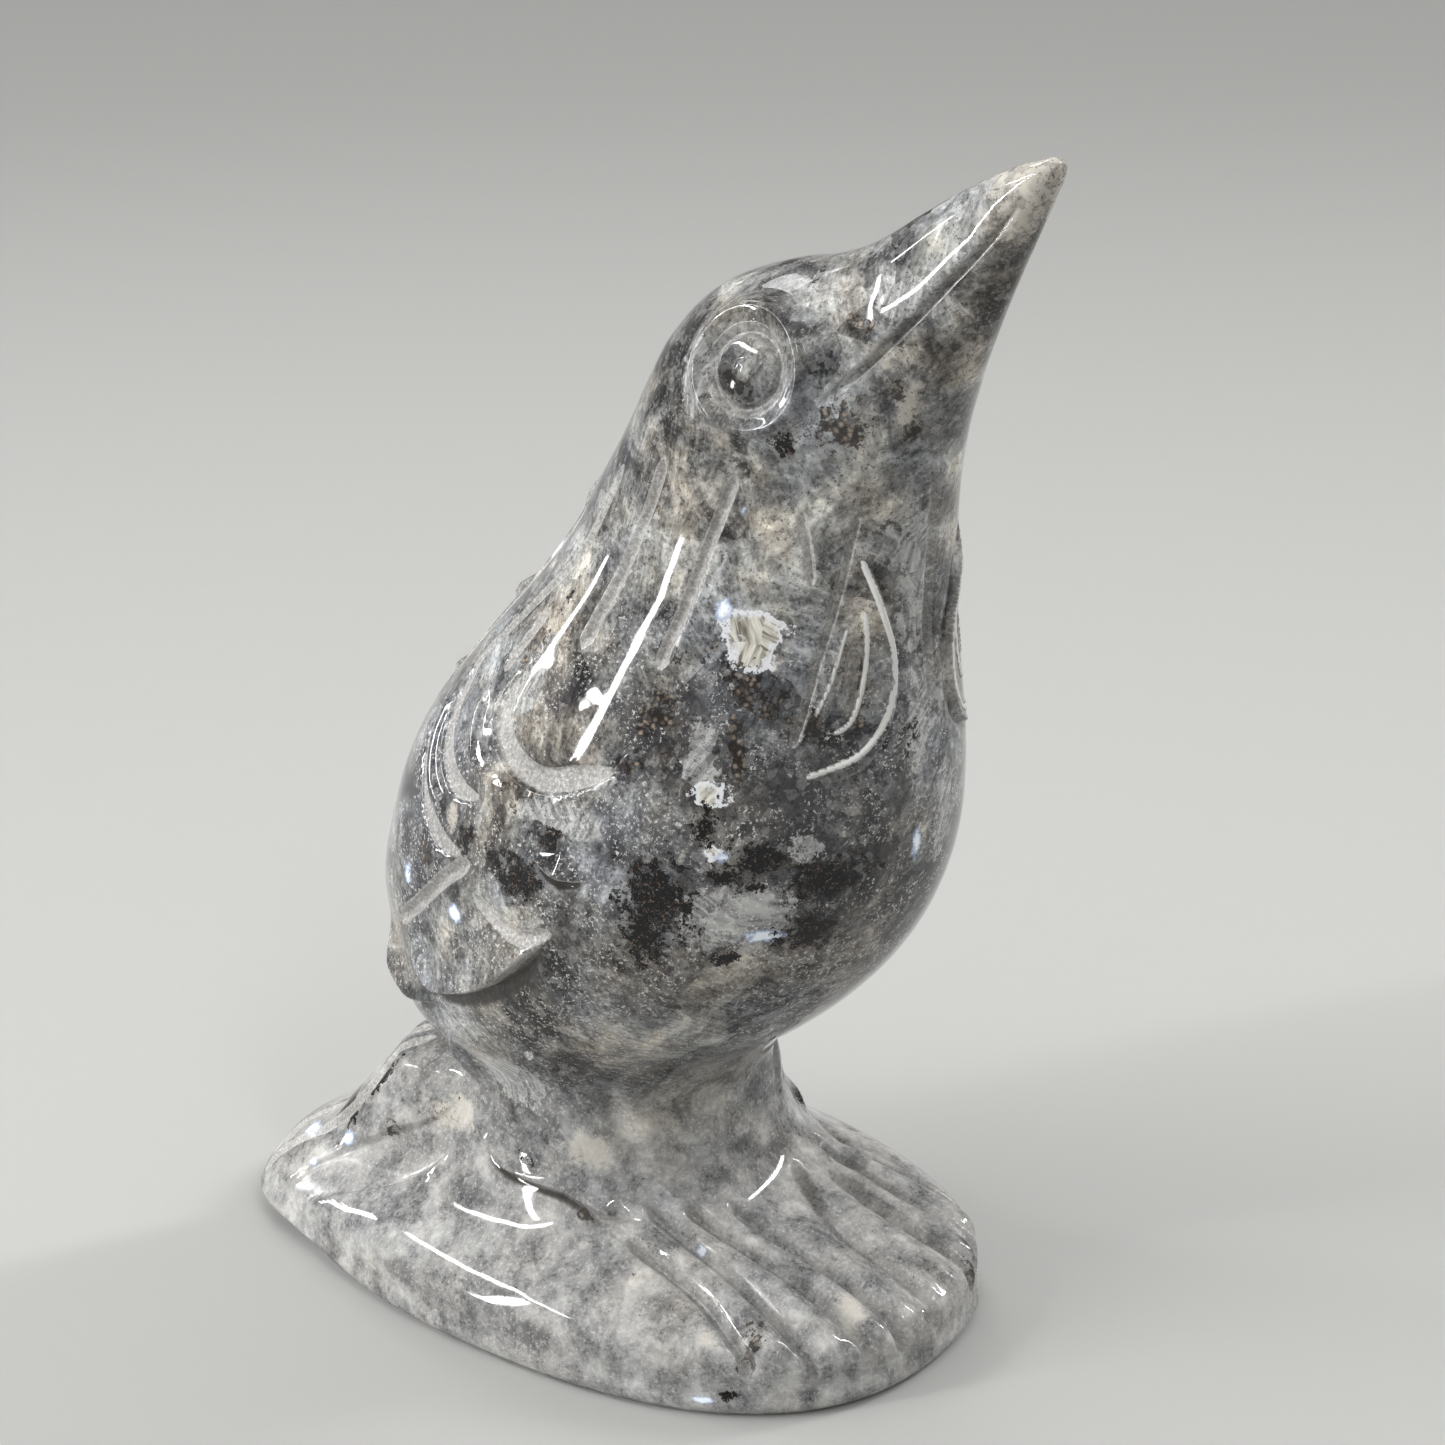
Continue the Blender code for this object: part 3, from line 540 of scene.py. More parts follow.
def through(knots, values, at):
    """Smooth curve through the values at the knots: cubic spans whose slopes come from the neighbours."""
    knots = np.asarray(knots, float)
    values = np.asarray(values, float).reshape(len(knots), -1)
    at = np.asarray(at, float)
    slopes = np.gradient(values, knots, axis=0)
    span = np.clip(np.searchsorted(knots, at, side="right") - 1, 0, len(knots) - 2)
    width = (knots[span + 1] - knots[span])[:, None]
    t = np.clip((at - knots[span])[:, None] / width, 0.0, 1.0)
    lead = t * (1.0 - t) ** 2 * width
    trail = t * t * (t - 1.0) * width
    curve = values[span] * (1.0 - eased(t)) + values[span + 1] * eased(t)
    return curve + slopes[span] * lead + slopes[span + 1] * trail


def outline():
    """Level, front point, back point and half width of every station, in metres apart from the level."""
    half_length = BASE_LENGTH / 2
    half_width = BASE_WIDTH / 2
    foot = -BASE_SIDE / UNIT
    edge = foot + BASE_EDGE / UNIT
    rows = []
    for level, inset in ((foot, BASE_EDGE), (edge, 0.0), (foot / 2, 0.0)):
        z = BASE_SIDE + level * UNIT
        rows.append((level, half_length - inset, z, half_length - inset, z, half_width - inset))
    for level, share in SPREAD:
        z = BASE_SIDE + level * UNIT
        front = WAIST_FRONT * UNIT * (1.0 - share) + half_length * share
        back = WAIST_BACK * UNIT * (1.0 - share) + half_length * share
        side = WAIST_HALF * UNIT * (1.0 - share) + half_width * share
        rows.append((level, front, z, back, z, side))
    body = [(level, (front, level), (back, level), side) for level, front, back, side in BODY]
    for level, (forward, front_up), (backward, back_up), side in body + list(HEAD):
        front_z = BASE_SIDE + front_up * UNIT
        back_z = BASE_SIDE + back_up * UNIT
        rows.append((level, forward * UNIT, front_z, backward * UNIT, back_z, side * UNIT))
    return np.array(rows)


def power_round(value, exponent):
    """A cosine or sine drawn out towards the corners of a squarer round."""
    return np.sign(value) * np.abs(value) ** (2.0 / exponent)


def ring_points(levels, segments):
    """Points of the rings at these levels, as rings by segments by coordinates."""
    table = outline()
    knots = table[:, 0]
    front = through(knots, table[:, 1:3] * (-1.0, 1.0), levels)
    back = through(knots, table[:, 3:5], levels)
    side = through(knots, table[:, 5], levels)
    section = np.array(SECTION)
    squareness, swell = np.split(through(section[:, 0], section[:, 1:], levels), 2, axis=1)
    angle = np.arange(segments) * 2.0 * np.pi / segments
    forward = power_round(np.cos(angle)[None, :], squareness)
    across = power_round(np.sin(angle)[None, :], squareness)
    middle = (front + back)[:, None, :] / 2
    reach = (front - back)[:, None, :] / 2
    points = np.empty((len(levels), segments, 3))
    points[:, :, 0] = -side * across * (1.0 + swell * forward)
    points[:, :, 1:] = middle + reach * forward[:, :, None]
    return points


def turned(x, y, degrees):
    """Across and backward places of points, in a frame that is turned to the bird's right."""
    turn = np.radians(degrees)
    return x * np.cos(turn) + y * np.sin(turn), y * np.cos(turn) - x * np.sin(turn)


def turn_base(points, levels):
    """Turns the rock under the bird, less and less up to its waist."""
    share = np.clip(1.0 - levels / WAIST_LEVEL, 0.0, 1.0)[:, None]
    x, y = turned(points[:, :, 0], points[:, :, 1], -BASE_TURN * share)
    points[:, :, 0] = x
    points[:, :, 1] = y


def tail_shares(levels):
    """How far out the tail reaches at these levels, as shares of the way from its root to its tip."""
    foot = -BASE_SIDE / UNIT
    edge = foot + TAIL_LIFT / UNIT
    knots = [(foot, TAIL_UNDERSIDE), (edge, TAIL_EDGE)]
    knots += [(edge + above, share) for above, share in TAIL_LIP]
    knots = np.array(knots + list(TAIL_BACK))
    return through(knots[:, 0], knots[:, 1], levels)


def add_tail(points, levels):
    """Pushes the backs of the low rings out to the tail, whose tip overhangs the end of the rock."""
    low = levels < WAIST_LEVEL
    share = tail_shares(levels[low])
    reach = TAIL_ROOT * UNIT * (1.0 - share) + (BASE_LENGTH / 2 + TAIL_OVERHANG) * share
    half = (TAIL_ROOT_HALF * (1.0 - share) + TAIL_TIP_HALF * share) * UNIT
    x = points[low, :, 0]
    y = points[low, :, 1]
    far = np.hypot(x, y)
    across, backward = turned(x, y, TAIL_SWING)
    along = np.clip(backward / far, TAIL_NARROWEST, None) / reach
    aside = np.abs(across / far) / half
    lobe = (along**TAIL_SQUARENESS + aside**TAIL_SQUARENESS) ** (-1.0 / TAIL_SQUARENESS)
    lobe[backward < 0.0] = 0.0
    joined = (far**TAIL_SHARPNESS + lobe**TAIL_SHARPNESS) ** (1.0 / TAIL_SHARPNESS)
    fade = eased((WAIST_LEVEL - levels[low]) / TAIL_FADE)[:, None]
    stretch = 1.0 + (joined / far - 1.0) * fade
    points[low, :, 0] *= stretch
    points[low, :, 1] *= stretch


def bare_form(levels, segments):
    """The stone before its lines are carved."""
    points = ring_points(levels, segments)
    turn_base(points, levels)
    add_tail(points, levels)
    return points


def even_levels(count):
    """Levels of the rings, spread so that neighbours lie about equally far apart."""
    table = outline()
    fine = np.linspace(table[0, 0], table[-1, 0], MEASURED_RINGS)
    steps = np.linalg.norm(np.diff(bare_form(fine, MEASURED_POINTS), axis=0), axis=2)
    gap = (steps.max(axis=1) + steps.mean(axis=1)) / 2
    run = np.concatenate([[0.0], np.cumsum(gap)])
    return np.interp(np.linspace(0.0, run[-1], count), run, fine)


def normals_of(points):
    """Outward unit normals of a grid of rings by segments."""
    along = np.gradient(points, axis=0)
    around = np.roll(points, -1, axis=1) - np.roll(points, 1, axis=1)
    normals = np.cross(along, around)
    return normals / (np.linalg.norm(normals, axis=2, keepdims=True) + TINY)


def spots(field, levels, places):
    """The values of a grid field at places, each a level and an angle in degrees."""
    places = np.asarray(places, float)
    count = field.shape[1]
    row = np.interp(places[:, 0], levels, np.arange(len(levels)))
    column = places[:, 1] / 360.0 * count
    low = np.clip(row.astype(int), 0, len(levels) - 2)
    left = np.floor(column).astype(int)
    up = (row - low)[:, None]
    right = (column - left)[:, None]
    lower = field[low, left % count] * (1.0 - right) + field[low, (left + 1) % count] * right
    upper = field[low + 1, left % count] * (1.0 - right) + field[low + 1, (left + 1) % count] * right
    return lower * (1.0 - up) + upper * up


def stand(points, normals, levels, place):
    """The point of the stone at one place, and the way that the stone faces there."""
    facing = spots(normals, levels, [place])[0]
    return spots(points, levels, [place])[0], facing / np.linalg.norm(facing)


def run_along(line):
    """Distance along a line of points, from its start."""
    steps = np.linalg.norm(np.diff(line, axis=0), axis=1)
    return np.concatenate([[0.0], np.cumsum(steps)])


def traced(points, levels, places):
    """A smooth line on the stone through these places, as places one step apart."""
    places = np.asarray(places, float)
    run = run_along(spots(points, levels, places))
    count = max(FEWEST_PLACES, int(run[-1] / (STEP * UNIT)))
    return through(run, places, np.linspace(0.0, run[-1], count))


def cut_shape(cut, offset, width, depth):
    """How far the stone rises at a signed offset to the left of a line."""
    near = np.clip(1.0 - np.abs(offset) / width, 0.0, 1.0)
    if cut == "groove":
        return -depth * eased(near)
    if cut == "band":
        return -BAND_FLATNESS * depth * eased(near / BAND_WALL)
    if cut in ("ridge", "rim"):
        return depth * eased(near)
    edge = np.clip(offset / (LAP_EDGE * width) + 0.5, 0.0, 1.0)
    foot = np.clip(1.0 + 2.0 * offset / width, 0.0, 1.0) * (1.0 - edge)
    return depth * (eased(edge) * near**LAP_FALL - LAP_FOOT * foot * foot)


def strip(share, middle, half):
    """How near a share lies to the middle of a strip: 1 in the middle, 0 at its edges and beyond."""
    return np.clip(1.0 - np.abs(share - middle) / half, 0.0, 1.0)


def cut_cover(cut, offset, width):
    """How far a cut is left unpolished at a signed offset to the left of its line, from 0 to 1."""
    near = np.clip(1.0 - np.abs(offset) / width, 0.0, 1.0)
    if cut == "ridge":
        return np.zeros_like(near)
    if cut == "lap":
        return LAP_COVER * strip(offset / width, *LAP_PALE)
    return near


def nearest_on(path, near):
    """Where the nearest point of a polyline lies for each point, as a fractional index, and the way to it."""
    gap = near[:, None, :] - path[None, :, :]
    closest = np.argmin((gap * gap).sum(axis=2), axis=1)
    best = np.full(len(near), np.inf)
    place = np.zeros(len(near))
    away = np.zeros_like(near)
    for first in (closest - 1, closest):
        start = np.clip(first, 0, len(path) - 2)
        step = path[start + 1] - path[start]
        share = ((near - path[start]) * step).sum(axis=1) / (step * step).sum(axis=1)
        share = np.clip(share, 0.0, 1.0)
        offset = near - path[start] - step * share[:, None]
        far = (offset * offset).sum(axis=1)
        better = far < best
        best = np.where(better, far, best)
        place = np.where(better, start + share, place)
        away = np.where(better[:, None], offset, away)
    return place, away


def line_rise(points, normals, levels, line, side):
    """How far each grid point rises for one carved line, how unpolished it stays, and how much painted shade
    its crease gets.

    Side is -1 where a lap raises the right instead.
    """
    cut, width, depth, places = line
    width = width * UNIT
    depth = depth * UNIT
    trail = traced(points, levels, places)
    path = spots(points, levels, trail)
    facing = spots(normals, levels, trail)
    heading = np.gradient(path, axis=0)
    run = run_along(path)
    ends = BAND_ENDS if cut == "band" else LINE_ENDS
    fade = eased(np.minimum(run, run[-1] - run) / (ends * width))
    inside = np.all((points > path.min(axis=0) - width) & (points < path.max(axis=0) + width), axis=2)
    place, away = nearest_on(path, points[inside])
    closest = np.round(place).astype(int)
    left = np.cross(normals[inside], heading[closest])
    signed = np.linalg.norm(away, axis=1) * np.sign((away * left).sum(axis=1)) * side
    same_face = (normals[inside] * facing[closest]).sum(axis=1) > SAME_FACE
    strength = np.interp(place, np.arange(len(path)), fade)
    signed /= LINE_TAPER + (1.0 - LINE_TAPER) * strength
    rise, cover, crease = np.zeros((3,) + points.shape[:2])
    rise[inside] = cut_shape(cut, signed, width, depth) * strength * same_face
    cover[inside] = cut_cover(cut, signed, width) * eased(strength * COVER_LEAD) * same_face
    # The foot of a lap gets painted shade in its crease
    if cut == "lap":
        crease[inside] = strip(signed / width, *LAP_CREASE_SHADE) * strength * same_face
    return rise, cover, crease


def eye_rise(points, normals, levels, side):
    """The rise of one eye and the flattening of the head around it, and the sunk ring left unpolished."""
    level, angle = EYE_PLACE
    centre, facing = stand(points, normals, levels, (level, side * angle))
    offset = points - centre
    height = offset @ facing
    radius = np.linalg.norm(offset - height[:, :, None] * facing, axis=2) / UNIT
    rim = 1.0 - np.abs(radius - EYE_RIM) / EYE_RIM_WIDTH
    sunk = 1.0 - np.abs(radius - EYE_SUNK) / EYE_SUNK_WIDTH
    dome = np.clip(1.0 - (radius / EYE_SUNK) ** 2, 0.0, 1.0)
    boss = np.clip(1.0 - (radius / EYE_BOSS) ** 2, 0.0, 1.0)
    rise = EYE_RIM_RISE * eased(rim) - EYE_SUNK_DEPTH * eased(sunk)
    rise += EYE_DOME_RISE * dome + EYE_BOSS_RISE * boss
    flat = eased((EYE_FLAT_END - radius / EYE_RIM) / (EYE_FLAT_END - 1.0))
    same_face = normals @ facing > SAME_FACE
    return (rise * UNIT - EYE_FLATTENING * height * flat) * same_face, eased(sunk * 2.0) * same_face


def back_scallops():
    """Scallops across the middle of the back, each one a curve that rises from its tip to both sides."""
    lines = []
    for tip, spread in BACK_SCALLOPS:
        shares = np.linspace(-1.0, 1.0, SCALLOP_PLACES)
        places = [(tip + SCALLOP_HEIGHT * share * share, SCALLOP_MIDDLE + spread * share) for share in shares]
        lines.append(BACK_SCALLOP + (places,))
    return lines


def tail_grooves():
    """Grooves that part the feathers of the tail."""
    lines = []
    for share in TAIL_GROOVES:
        places = [(level, TAIL_FAN_MIDDLE + spread * share) for level, spread in TAIL_FAN]
        lines.append(TAIL_GROOVE + (places,))
    return lines


def tool_marks():
    """Fine side-by-side scratches on the near side of the rock."""
    lines = []
    for count in range(TOOL_MARKS):
        shift = [count * step for step in TOOL_MARK_STEP]
        ends = [(level + shift[0], angle + shift[1]) for level, angle in (TOOL_MARK_START, TOOL_MARK_END)]
        lines.append(TOOL_MARK + (ends,))
    return lines


def all_lines():
    """Every carved line, the side that its lap raises, how unpolished it stays and how dark the painted shade
    in its crease is.
    """
    lines = []
    for group, frost, dark in PAIRED_GROUPS:
        for cut, width, depth, places in group:
            mirrored = [(level, -angle) for level, angle in places]
            lines.append(((cut, width, depth, places), 1.0, frost, dark))
            lines.append(((cut, width, depth, mirrored), -1.0, frost, dark))
    single_groups = (
        ([MIDDLE_OF_BREAST], 1.0, MIDDLE_FINISH),
        ([CLEFT + (places,) for places in CLEFTS], 1.0, CLEFT_FINISH),
        ([TOE + (places,) for places in TOES], 1.0, TOE_FINISH),
        (back_scallops(), -1.0, SCALLOP_FINISH),
        (tail_grooves(), 1.0, TAIL_FINISH),
        (tool_marks(), 1.0, MARK_FINISH),
    )
    for group, side, finish in single_groups:
        lines += [(line, side) + finish for line in group]
    return lines


def uneven_rise(points):
    """Slow low waves that cross each other, as left by polishing by hand."""
    rise = np.zeros(points.shape[:2])
    one, two, three = UNEVEN_SLANTS
    for number, wave in enumerate(UNEVEN_WAVES):
        turns = points / (wave * UNIT) * 2.0 * np.pi
        x, y, z = np.moveaxis(turns, 2, 0)
        rise += np.sin(x + one * z + number) * np.sin(y - two * x + 2.0 * number) * np.cos(z + three * y)
    return rise * UNEVEN_RISE * UNIT / len(UNEVEN_WAVES)


def carve(points, levels):
    """Cuts every line and both eyes into the form at once.

    Also gives how well each point lies inside a line, how far that line is left unpolished, and the painted
    shade in the creases.
    """
    normals = normals_of(points)
    rise = uneven_rise(points)
    inside, frosted, crease_shading = np.zeros((3,) + points.shape[:2])
    for side in (1.0, -1.0):
        eye, ring = eye_rise(points, normals, levels, side)
        rise += eye
        frosted = np.where(ring > inside, EYE_COVER, frosted)
        inside = np.maximum(inside, ring)
    for line, side, frost, dark in all_lines():
        change, cover, crease = line_rise(points, normals, levels, line, side)
        crease_shading = np.maximum(crease_shading, crease * dark)
        rise += change
        frosted = np.where(cover > inside, frost, frosted)
        inside = np.maximum(inside, cover)
    rise *= eased((levels - levels[0]) / FADE)[:, None]
    fields = {"cut": inside, "frosted": frosted, "crease_shading": crease_shading}
    return points + normals * rise[:, :, None], fields


def more_places(name, chance):
    """Seeded places of one mineral over the sides that are not described one by one."""
    places = []
    for _ in range(MORE_MINERALS[name]):
        level = chance.uniform(*MORE_LEVELS)
        angle = chance.uniform(*MORE_ANGLES)
        places.append((level, angle, chance.uniform(*MORE_SIZES), chance.uniform(*MORE_SIZES)))
    return places


def mineral_field(points, normals, levels, places):
    """Nearness to the patches of one mineral: 1 in the middle of a patch, 0 at its edge, -1 far away."""
    field = np.full(points.shape[:2], -1.0)
    for level, angle, half_across, half_up in places:
        centre, facing = stand(points, normals, levels, (level, angle))
        across = np.cross((0.0, 0.0, 1.0), facing)
        across /= np.linalg.norm(across) + TINY
        up = np.cross(facing, across)
        offset = (points - centre) / UNIT
        far = np.hypot(offset @ across / half_across, offset @ up / half_up)
        deep = offset @ facing / (MINERAL_DEPTH * max(half_across, half_up))
        field = np.maximum(field, 1.0 - np.hypot(far, deep))
    return field


def mineral_fields(points, levels):
    """A field over the stone for each mineral."""
    normals = normals_of(points)
    chance = np.random.default_rng(MORE_SEED)
    fields = {}
    for name, places in MINERALS.items():
        fields[name] = mineral_field(points, normals, levels, list(places) + more_places(name, chance))
    return fields


def stone_mesh(points):
    """The closed skin over the rings, with a flat underside and a round tip."""
    skin = bmesh.new()
    rows = [[skin.verts.new(point) for point in ring] for ring in points]
    for lower, upper in zip(rows, rows[1:]):
        for one, other in zip(range(len(lower)), list(range(1, len(lower))) + [0]):
            skin.faces.new((lower[other], lower[one], upper[one], upper[other]))
    skin.faces.new(reversed(rows[-1]))
    bmesh.ops.poke(skin, faces=skin.faces[-1:])
    for face in skin.faces:
        face.smooth = True
    skin.faces.new(rows[0])
    bmesh.ops.recalc_face_normals(skin, faces=skin.faces)
    for edge in skin.faces[-1].edges:
        edge.smooth = False
    mesh = bpy.data.meshes.new("raven_stone")
    skin.to_mesh(mesh)
    skin.free()
    return mesh


def keep_field(mesh, name, field, kind="FLOAT", part="value"):
    """Stores a field of the grid on the mesh, whose last point closes the tip of the beak."""
    values = np.concatenate([field.ravel(), field[-1].mean(axis=0).ravel()])
    layer = mesh.attributes.new(name, kind, "POINT")
    layer.data.foreach_set(part, values.astype(np.float32))


class Nodes:
    """A short way to write a material's nodes."""

    def __init__(self, tree):
        self.tree = tree

    def add(self, kind, inputs=(), **settings):
        """A new node with these settings. Inputs map a socket's name or number to a value or a socket."""
        node = self.tree.nodes.new(kind)
        for name, value in settings.items():
            setattr(node, name, value)
        for name, value in dict(inputs).items():
            if isinstance(value, bpy.types.NodeSocket):
                self.tree.links.new(value, node.inputs[name])
            else:
                node.inputs[name].default_value = value
        return node

    def math(self, operation, one, other=0.0, limit=False):
        """One sum of two values."""
        node = self.add("ShaderNodeMath", {0: one, 1: other}, operation=operation, use_clamp=limit)
        return node.outputs[0]

    def plus(self, one, other):
        """Two values added."""
        return self.math("ADD", one, other)

    def times(self, one, other):
        """Two values multiplied."""
        return self.math("MULTIPLY", one, other)

    def weighed(self, values, shares):
        """Several values added, each counted by its share."""
        total = self.times(values[0], shares[0])
        for value, share in zip(values[1:], shares[1:]):
            total = self.plus(total, self.times(value, share))
        return total

    def remap(self, value, low, high, to_low=0.0, to_high=1.0, smooth=True):
        """A value carried from one range to another and held inside it."""
        kind = "SMOOTHSTEP" if smooth else "LINEAR"
        sockets = {"Value": value, "From Min": low, "From Max": high, "To Min": to_low, "To Max": to_high}
        return self.add("ShaderNodeMapRange", sockets, interpolation_type=kind).outputs[0]

    def vector(self, operation, one, other):
        """One sum of two vectors."""
        return self.add("ShaderNodeVectorMath", {0: one, 1: other}, operation=operation).outputs[0]

    def link(self, output, socket):
        """Joins an output to a socket."""
        self.tree.links.new(output, socket)

    def mix(self, share, one, other, blend="MIX"):
        """One colour laid over another."""
        one, other = [color + (1.0,) if isinstance(color, tuple) else color for color in (one, other)]
        node = self.add("ShaderNodeMix", {0: share, 6: one, 7: other}, data_type="RGBA", blend_type=blend)
        return node.outputs[2]

    def ramp(self, value, tones):
        """A colour for each value, from the tones at their places."""
        node = self.add("ShaderNodeValToRGB", {0: value})
        stops = node.color_ramp.elements
        stops[0].position = tones[0][0]
        stops[1].position = tones[-1][0]
        for position, _ in tones[1:-1]:
            stops.new(position)
        for stop, (_, tone) in zip(stops, tones):
            stop.color = tone + (1.0,)
        return node.outputs[0]

    def field(self, name):
        """A field that the mesh keeps."""
        return self.add("ShaderNodeAttribute", attribute_name=name).outputs["Fac"]

    def noise(self, place, settings, output="Fac"):
        """Even noise between 0 and 1. A distortion left out is none."""
        sockets = dict(zip(("Scale", "Detail", "Roughness", "Distortion"), settings))
        return self.add("ShaderNodeTexNoise", {"Vector": place, **sockets}).outputs[output]

    def scaled(self, vector, times):
        """A vector made longer or shorter."""
        return self.add("ShaderNodeVectorMath", {0: vector, "Scale": times}, operation="SCALE").outputs[0]

    def chance(self, cells):
        """A chance between 0 and 1, drawn for each cell."""
        return self.add("ShaderNodeSeparateColor", {0: cells.outputs["Color"]}).outputs[0]


def pushes(nodes, place, settings):
    """A push in every direction that changes over the stone, up to half a millimetre each way."""
    noise = nodes.noise(place, settings, "Color")
    return nodes.vector("SUBTRACT", noise, (HALF, HALF, HALF))


def uneven_cells(nodes, place, push, times, scale):
    """Cells like the crystals of a stone, with edges that a push makes uneven."""
    place = nodes.vector("ADD", place, nodes.scaled(push, times))
    return nodes.add("ShaderNodeTexVoronoi", {"Vector": place, "Scale": scale})


def patch(nodes, name, ragged):
    """How much of one mineral shows, with ragged edges, and how near a point is to the middle of a patch."""
    raggedness, low, high, _ = PATCHES[name]
    near = nodes.plus(nodes.field(name), nodes.times(ragged, raggedness))
    return nodes.remap(near, low, high), near


def covered(nodes, name, shown, color, tone, blend="MIX"):
    """The stone covered by one mineral, as well as that mineral covers."""
    return nodes.mix(nodes.times(shown, PATCHES[name][-1]), color, tone, blend)


def ground_stone(nodes, place, push, settings):
    """Colour of the grey feldspar between its other minerals, and the streaks within its crystals."""
    wide_push = pushes(nodes, place, WIDE_PUSH_NOISE)
    crystals = uneven_cells(nodes, place, wide_push, CRYSTAL_PUSH, settings.crystal_scale)
    sockets = {"Vector": place, "Rotation": crystals.outputs["Color"]}
    along = nodes.add("ShaderNodeVectorRotate", sockets, rotation_type="EULER_XYZ").outputs[0]
    streaks = nodes.noise(nodes.vector("MULTIPLY", along, STREAK_STRETCH), STREAK_NOISE)
    chips = uneven_cells(nodes, place, push, *CHIPS).outputs["Color"]
    clouds = nodes.noise(place, CLOUD_NOISE)
    grain = nodes.noise(place, GRAIN_NOISE)
    share = nodes.weighed((nodes.chance(crystals), chips, clouds, streaks, grain), GREY_SHARES)
    color = nodes.ramp(nodes.remap(share, *GREY_RANGE, smooth=False), STONE_TONES)
    tint = nodes.ramp(nodes.noise(place, TINT_NOISE), STONE_TINTS)
    return nodes.mix(1.0, color, tint, "MULTIPLY"), streaks


def milky_stone(nodes, milk, color, height, ragged):
    """Milky stone in the rock and the legs, shade places that are partly painted shade and partly dark
    clouds, pale places of painted light, and cream places.
    """
    milky = nodes.ramp(nodes.remap(milk, *MILKY_CLOUDS, smooth=False), MILKY_TONES)
    color = nodes.mix(nodes.remap(height, *MILKY_HEIGHTS), color, milky)
    # Shade is partly painted shade and partly dark clouds in the stone; pale is painted light
    layers = (("shade", SHADE, "MIX"), ("pale", PAINTED_LIGHT_GAIN, "MULTIPLY"), ("cream", CREAM, "MIX"))
    for name, tone, blend in layers:
        shown, _ = patch(nodes, name, ragged)
        color = covered(nodes, name, shown, color, tone, blend)
    return color


def streaked_sheets(nodes, color, streaks, ragged):
    """Sheets of grey crystal with painted sheen: the light caught in their layers is painted into their
    colour.
    """
    layers = nodes.mix(nodes.remap(streaks, *SHEEN_LAYERS), SHEEN_DARK, SHEEN_LIGHT)
    shown, _ = patch(nodes, "sheen", ragged)
    return covered(nodes, "sheen", shown, color, layers)


def crumbs(nodes, place, push, fine, strewn, color, height):
    """White and dark crumbs and flecks strewn through the grey, thickest low on the stone.

    The white crumbs are fainter in the rock and on the head.
    """
    low = nodes.remap(height, *CRUMBS_THICKEN)
    thick = nodes.plus(strewn, low)
    white, dark = [
        nodes.times(nodes.remap(fine, *begins), nodes.remap(thick, *spreads))
        for begins, spreads in (WHITE_CRUMBS, DARK_CRUMBS)
    ]
    chance = nodes.chance(uneven_cells(nodes, place, push, *FLECKS))
    lighter = nodes.times(nodes.math("GREATER_THAN", chance, LIGHT_FLECKS), thick)
    darker = nodes.times(nodes.math("LESS_THAN", chance, DARK_FLECKS), nodes.remap(low, *DARK_FLECK_COVER))
    color = nodes.mix(nodes.times(lighter, LIGHT_FLECK_COVER), color, FLECK)
    color = nodes.mix(darker, color, DARK_FLECK)
    color = nodes.mix(nodes.times(dark, DARK_CRUMB_COVER), color, DARK_CRUMB)
    strength = nodes.math(
        "MINIMUM", nodes.remap(height, *WHITE_FROM_ROCK), nodes.remap(height, *WHITE_TO_HEAD)
    )
    return nodes.mix(nodes.times(white, strength), color, WHITE_CRUMB)


def glinting_sheets(nodes, color, streaks, ragged):
    """Sheets with painted glints of silver and blue, brightest along their edges, and where they are silver.
    """
    silver, near = patch(nodes, "silver", ragged)
    inner = nodes.ramp(nodes.remap(streaks, *SILVER_LAYERS), SILVER_TONES)
    gleam = nodes.mix(nodes.remap(near, *SILVER_RIM), inner, PAINTED_SILVER_GLINT)
    color = covered(nodes, "silver", silver, color, gleam)
    flash, near = patch(nodes, "blue", ragged)
    blue = nodes.mix(nodes.remap(near, *BLUE_RIM), BLUE_FLASH, BLUE_CORE)
    return covered(nodes, "blue", flash, color, blue), silver


def dark_grains(nodes, place, push, fine, color, ragged):
    """Black grains and brown bubbly ones, and how much of either shows."""
    bubbles = uneven_cells(nodes, place, push, *BUBBLES)
    chance = nodes.chance(bubbles)
    crumb = nodes.math("SUBTRACT", fine, HALF)
    lobes = nodes.weighed((ragged, crumb, nodes.math("SUBTRACT", chance, HALF)), LOBE_SHARES)
    whole, _ = patch(nodes, "black", lobes)
    loose = nodes.plus(nodes.field("black"), nodes.times(crumb, LOOSE_SHARE))
    black = nodes.math("MAXIMUM", whole, nodes.remap(loose, *LOOSE_BLACK))
    black_tone = nodes.mix(nodes.remap(fine, *BROWN_SPECKS), BLACK, BROWN_SPECK)
    brown, _ = patch(nodes, "brown", lobes)
    rim = nodes.remap(bubbles.outputs["Distance"], *BUBBLE_RIM)
    brown_tone = nodes.mix(rim, nodes.mix(chance, BROWN, BROWN_LIGHT), BROWN_RIM)
    color = covered(nodes, "brown", brown, color, brown_tone)
    color = covered(nodes, "black", black, color, black_tone)
    return color, nodes.math("MAXIMUM", black, brown)


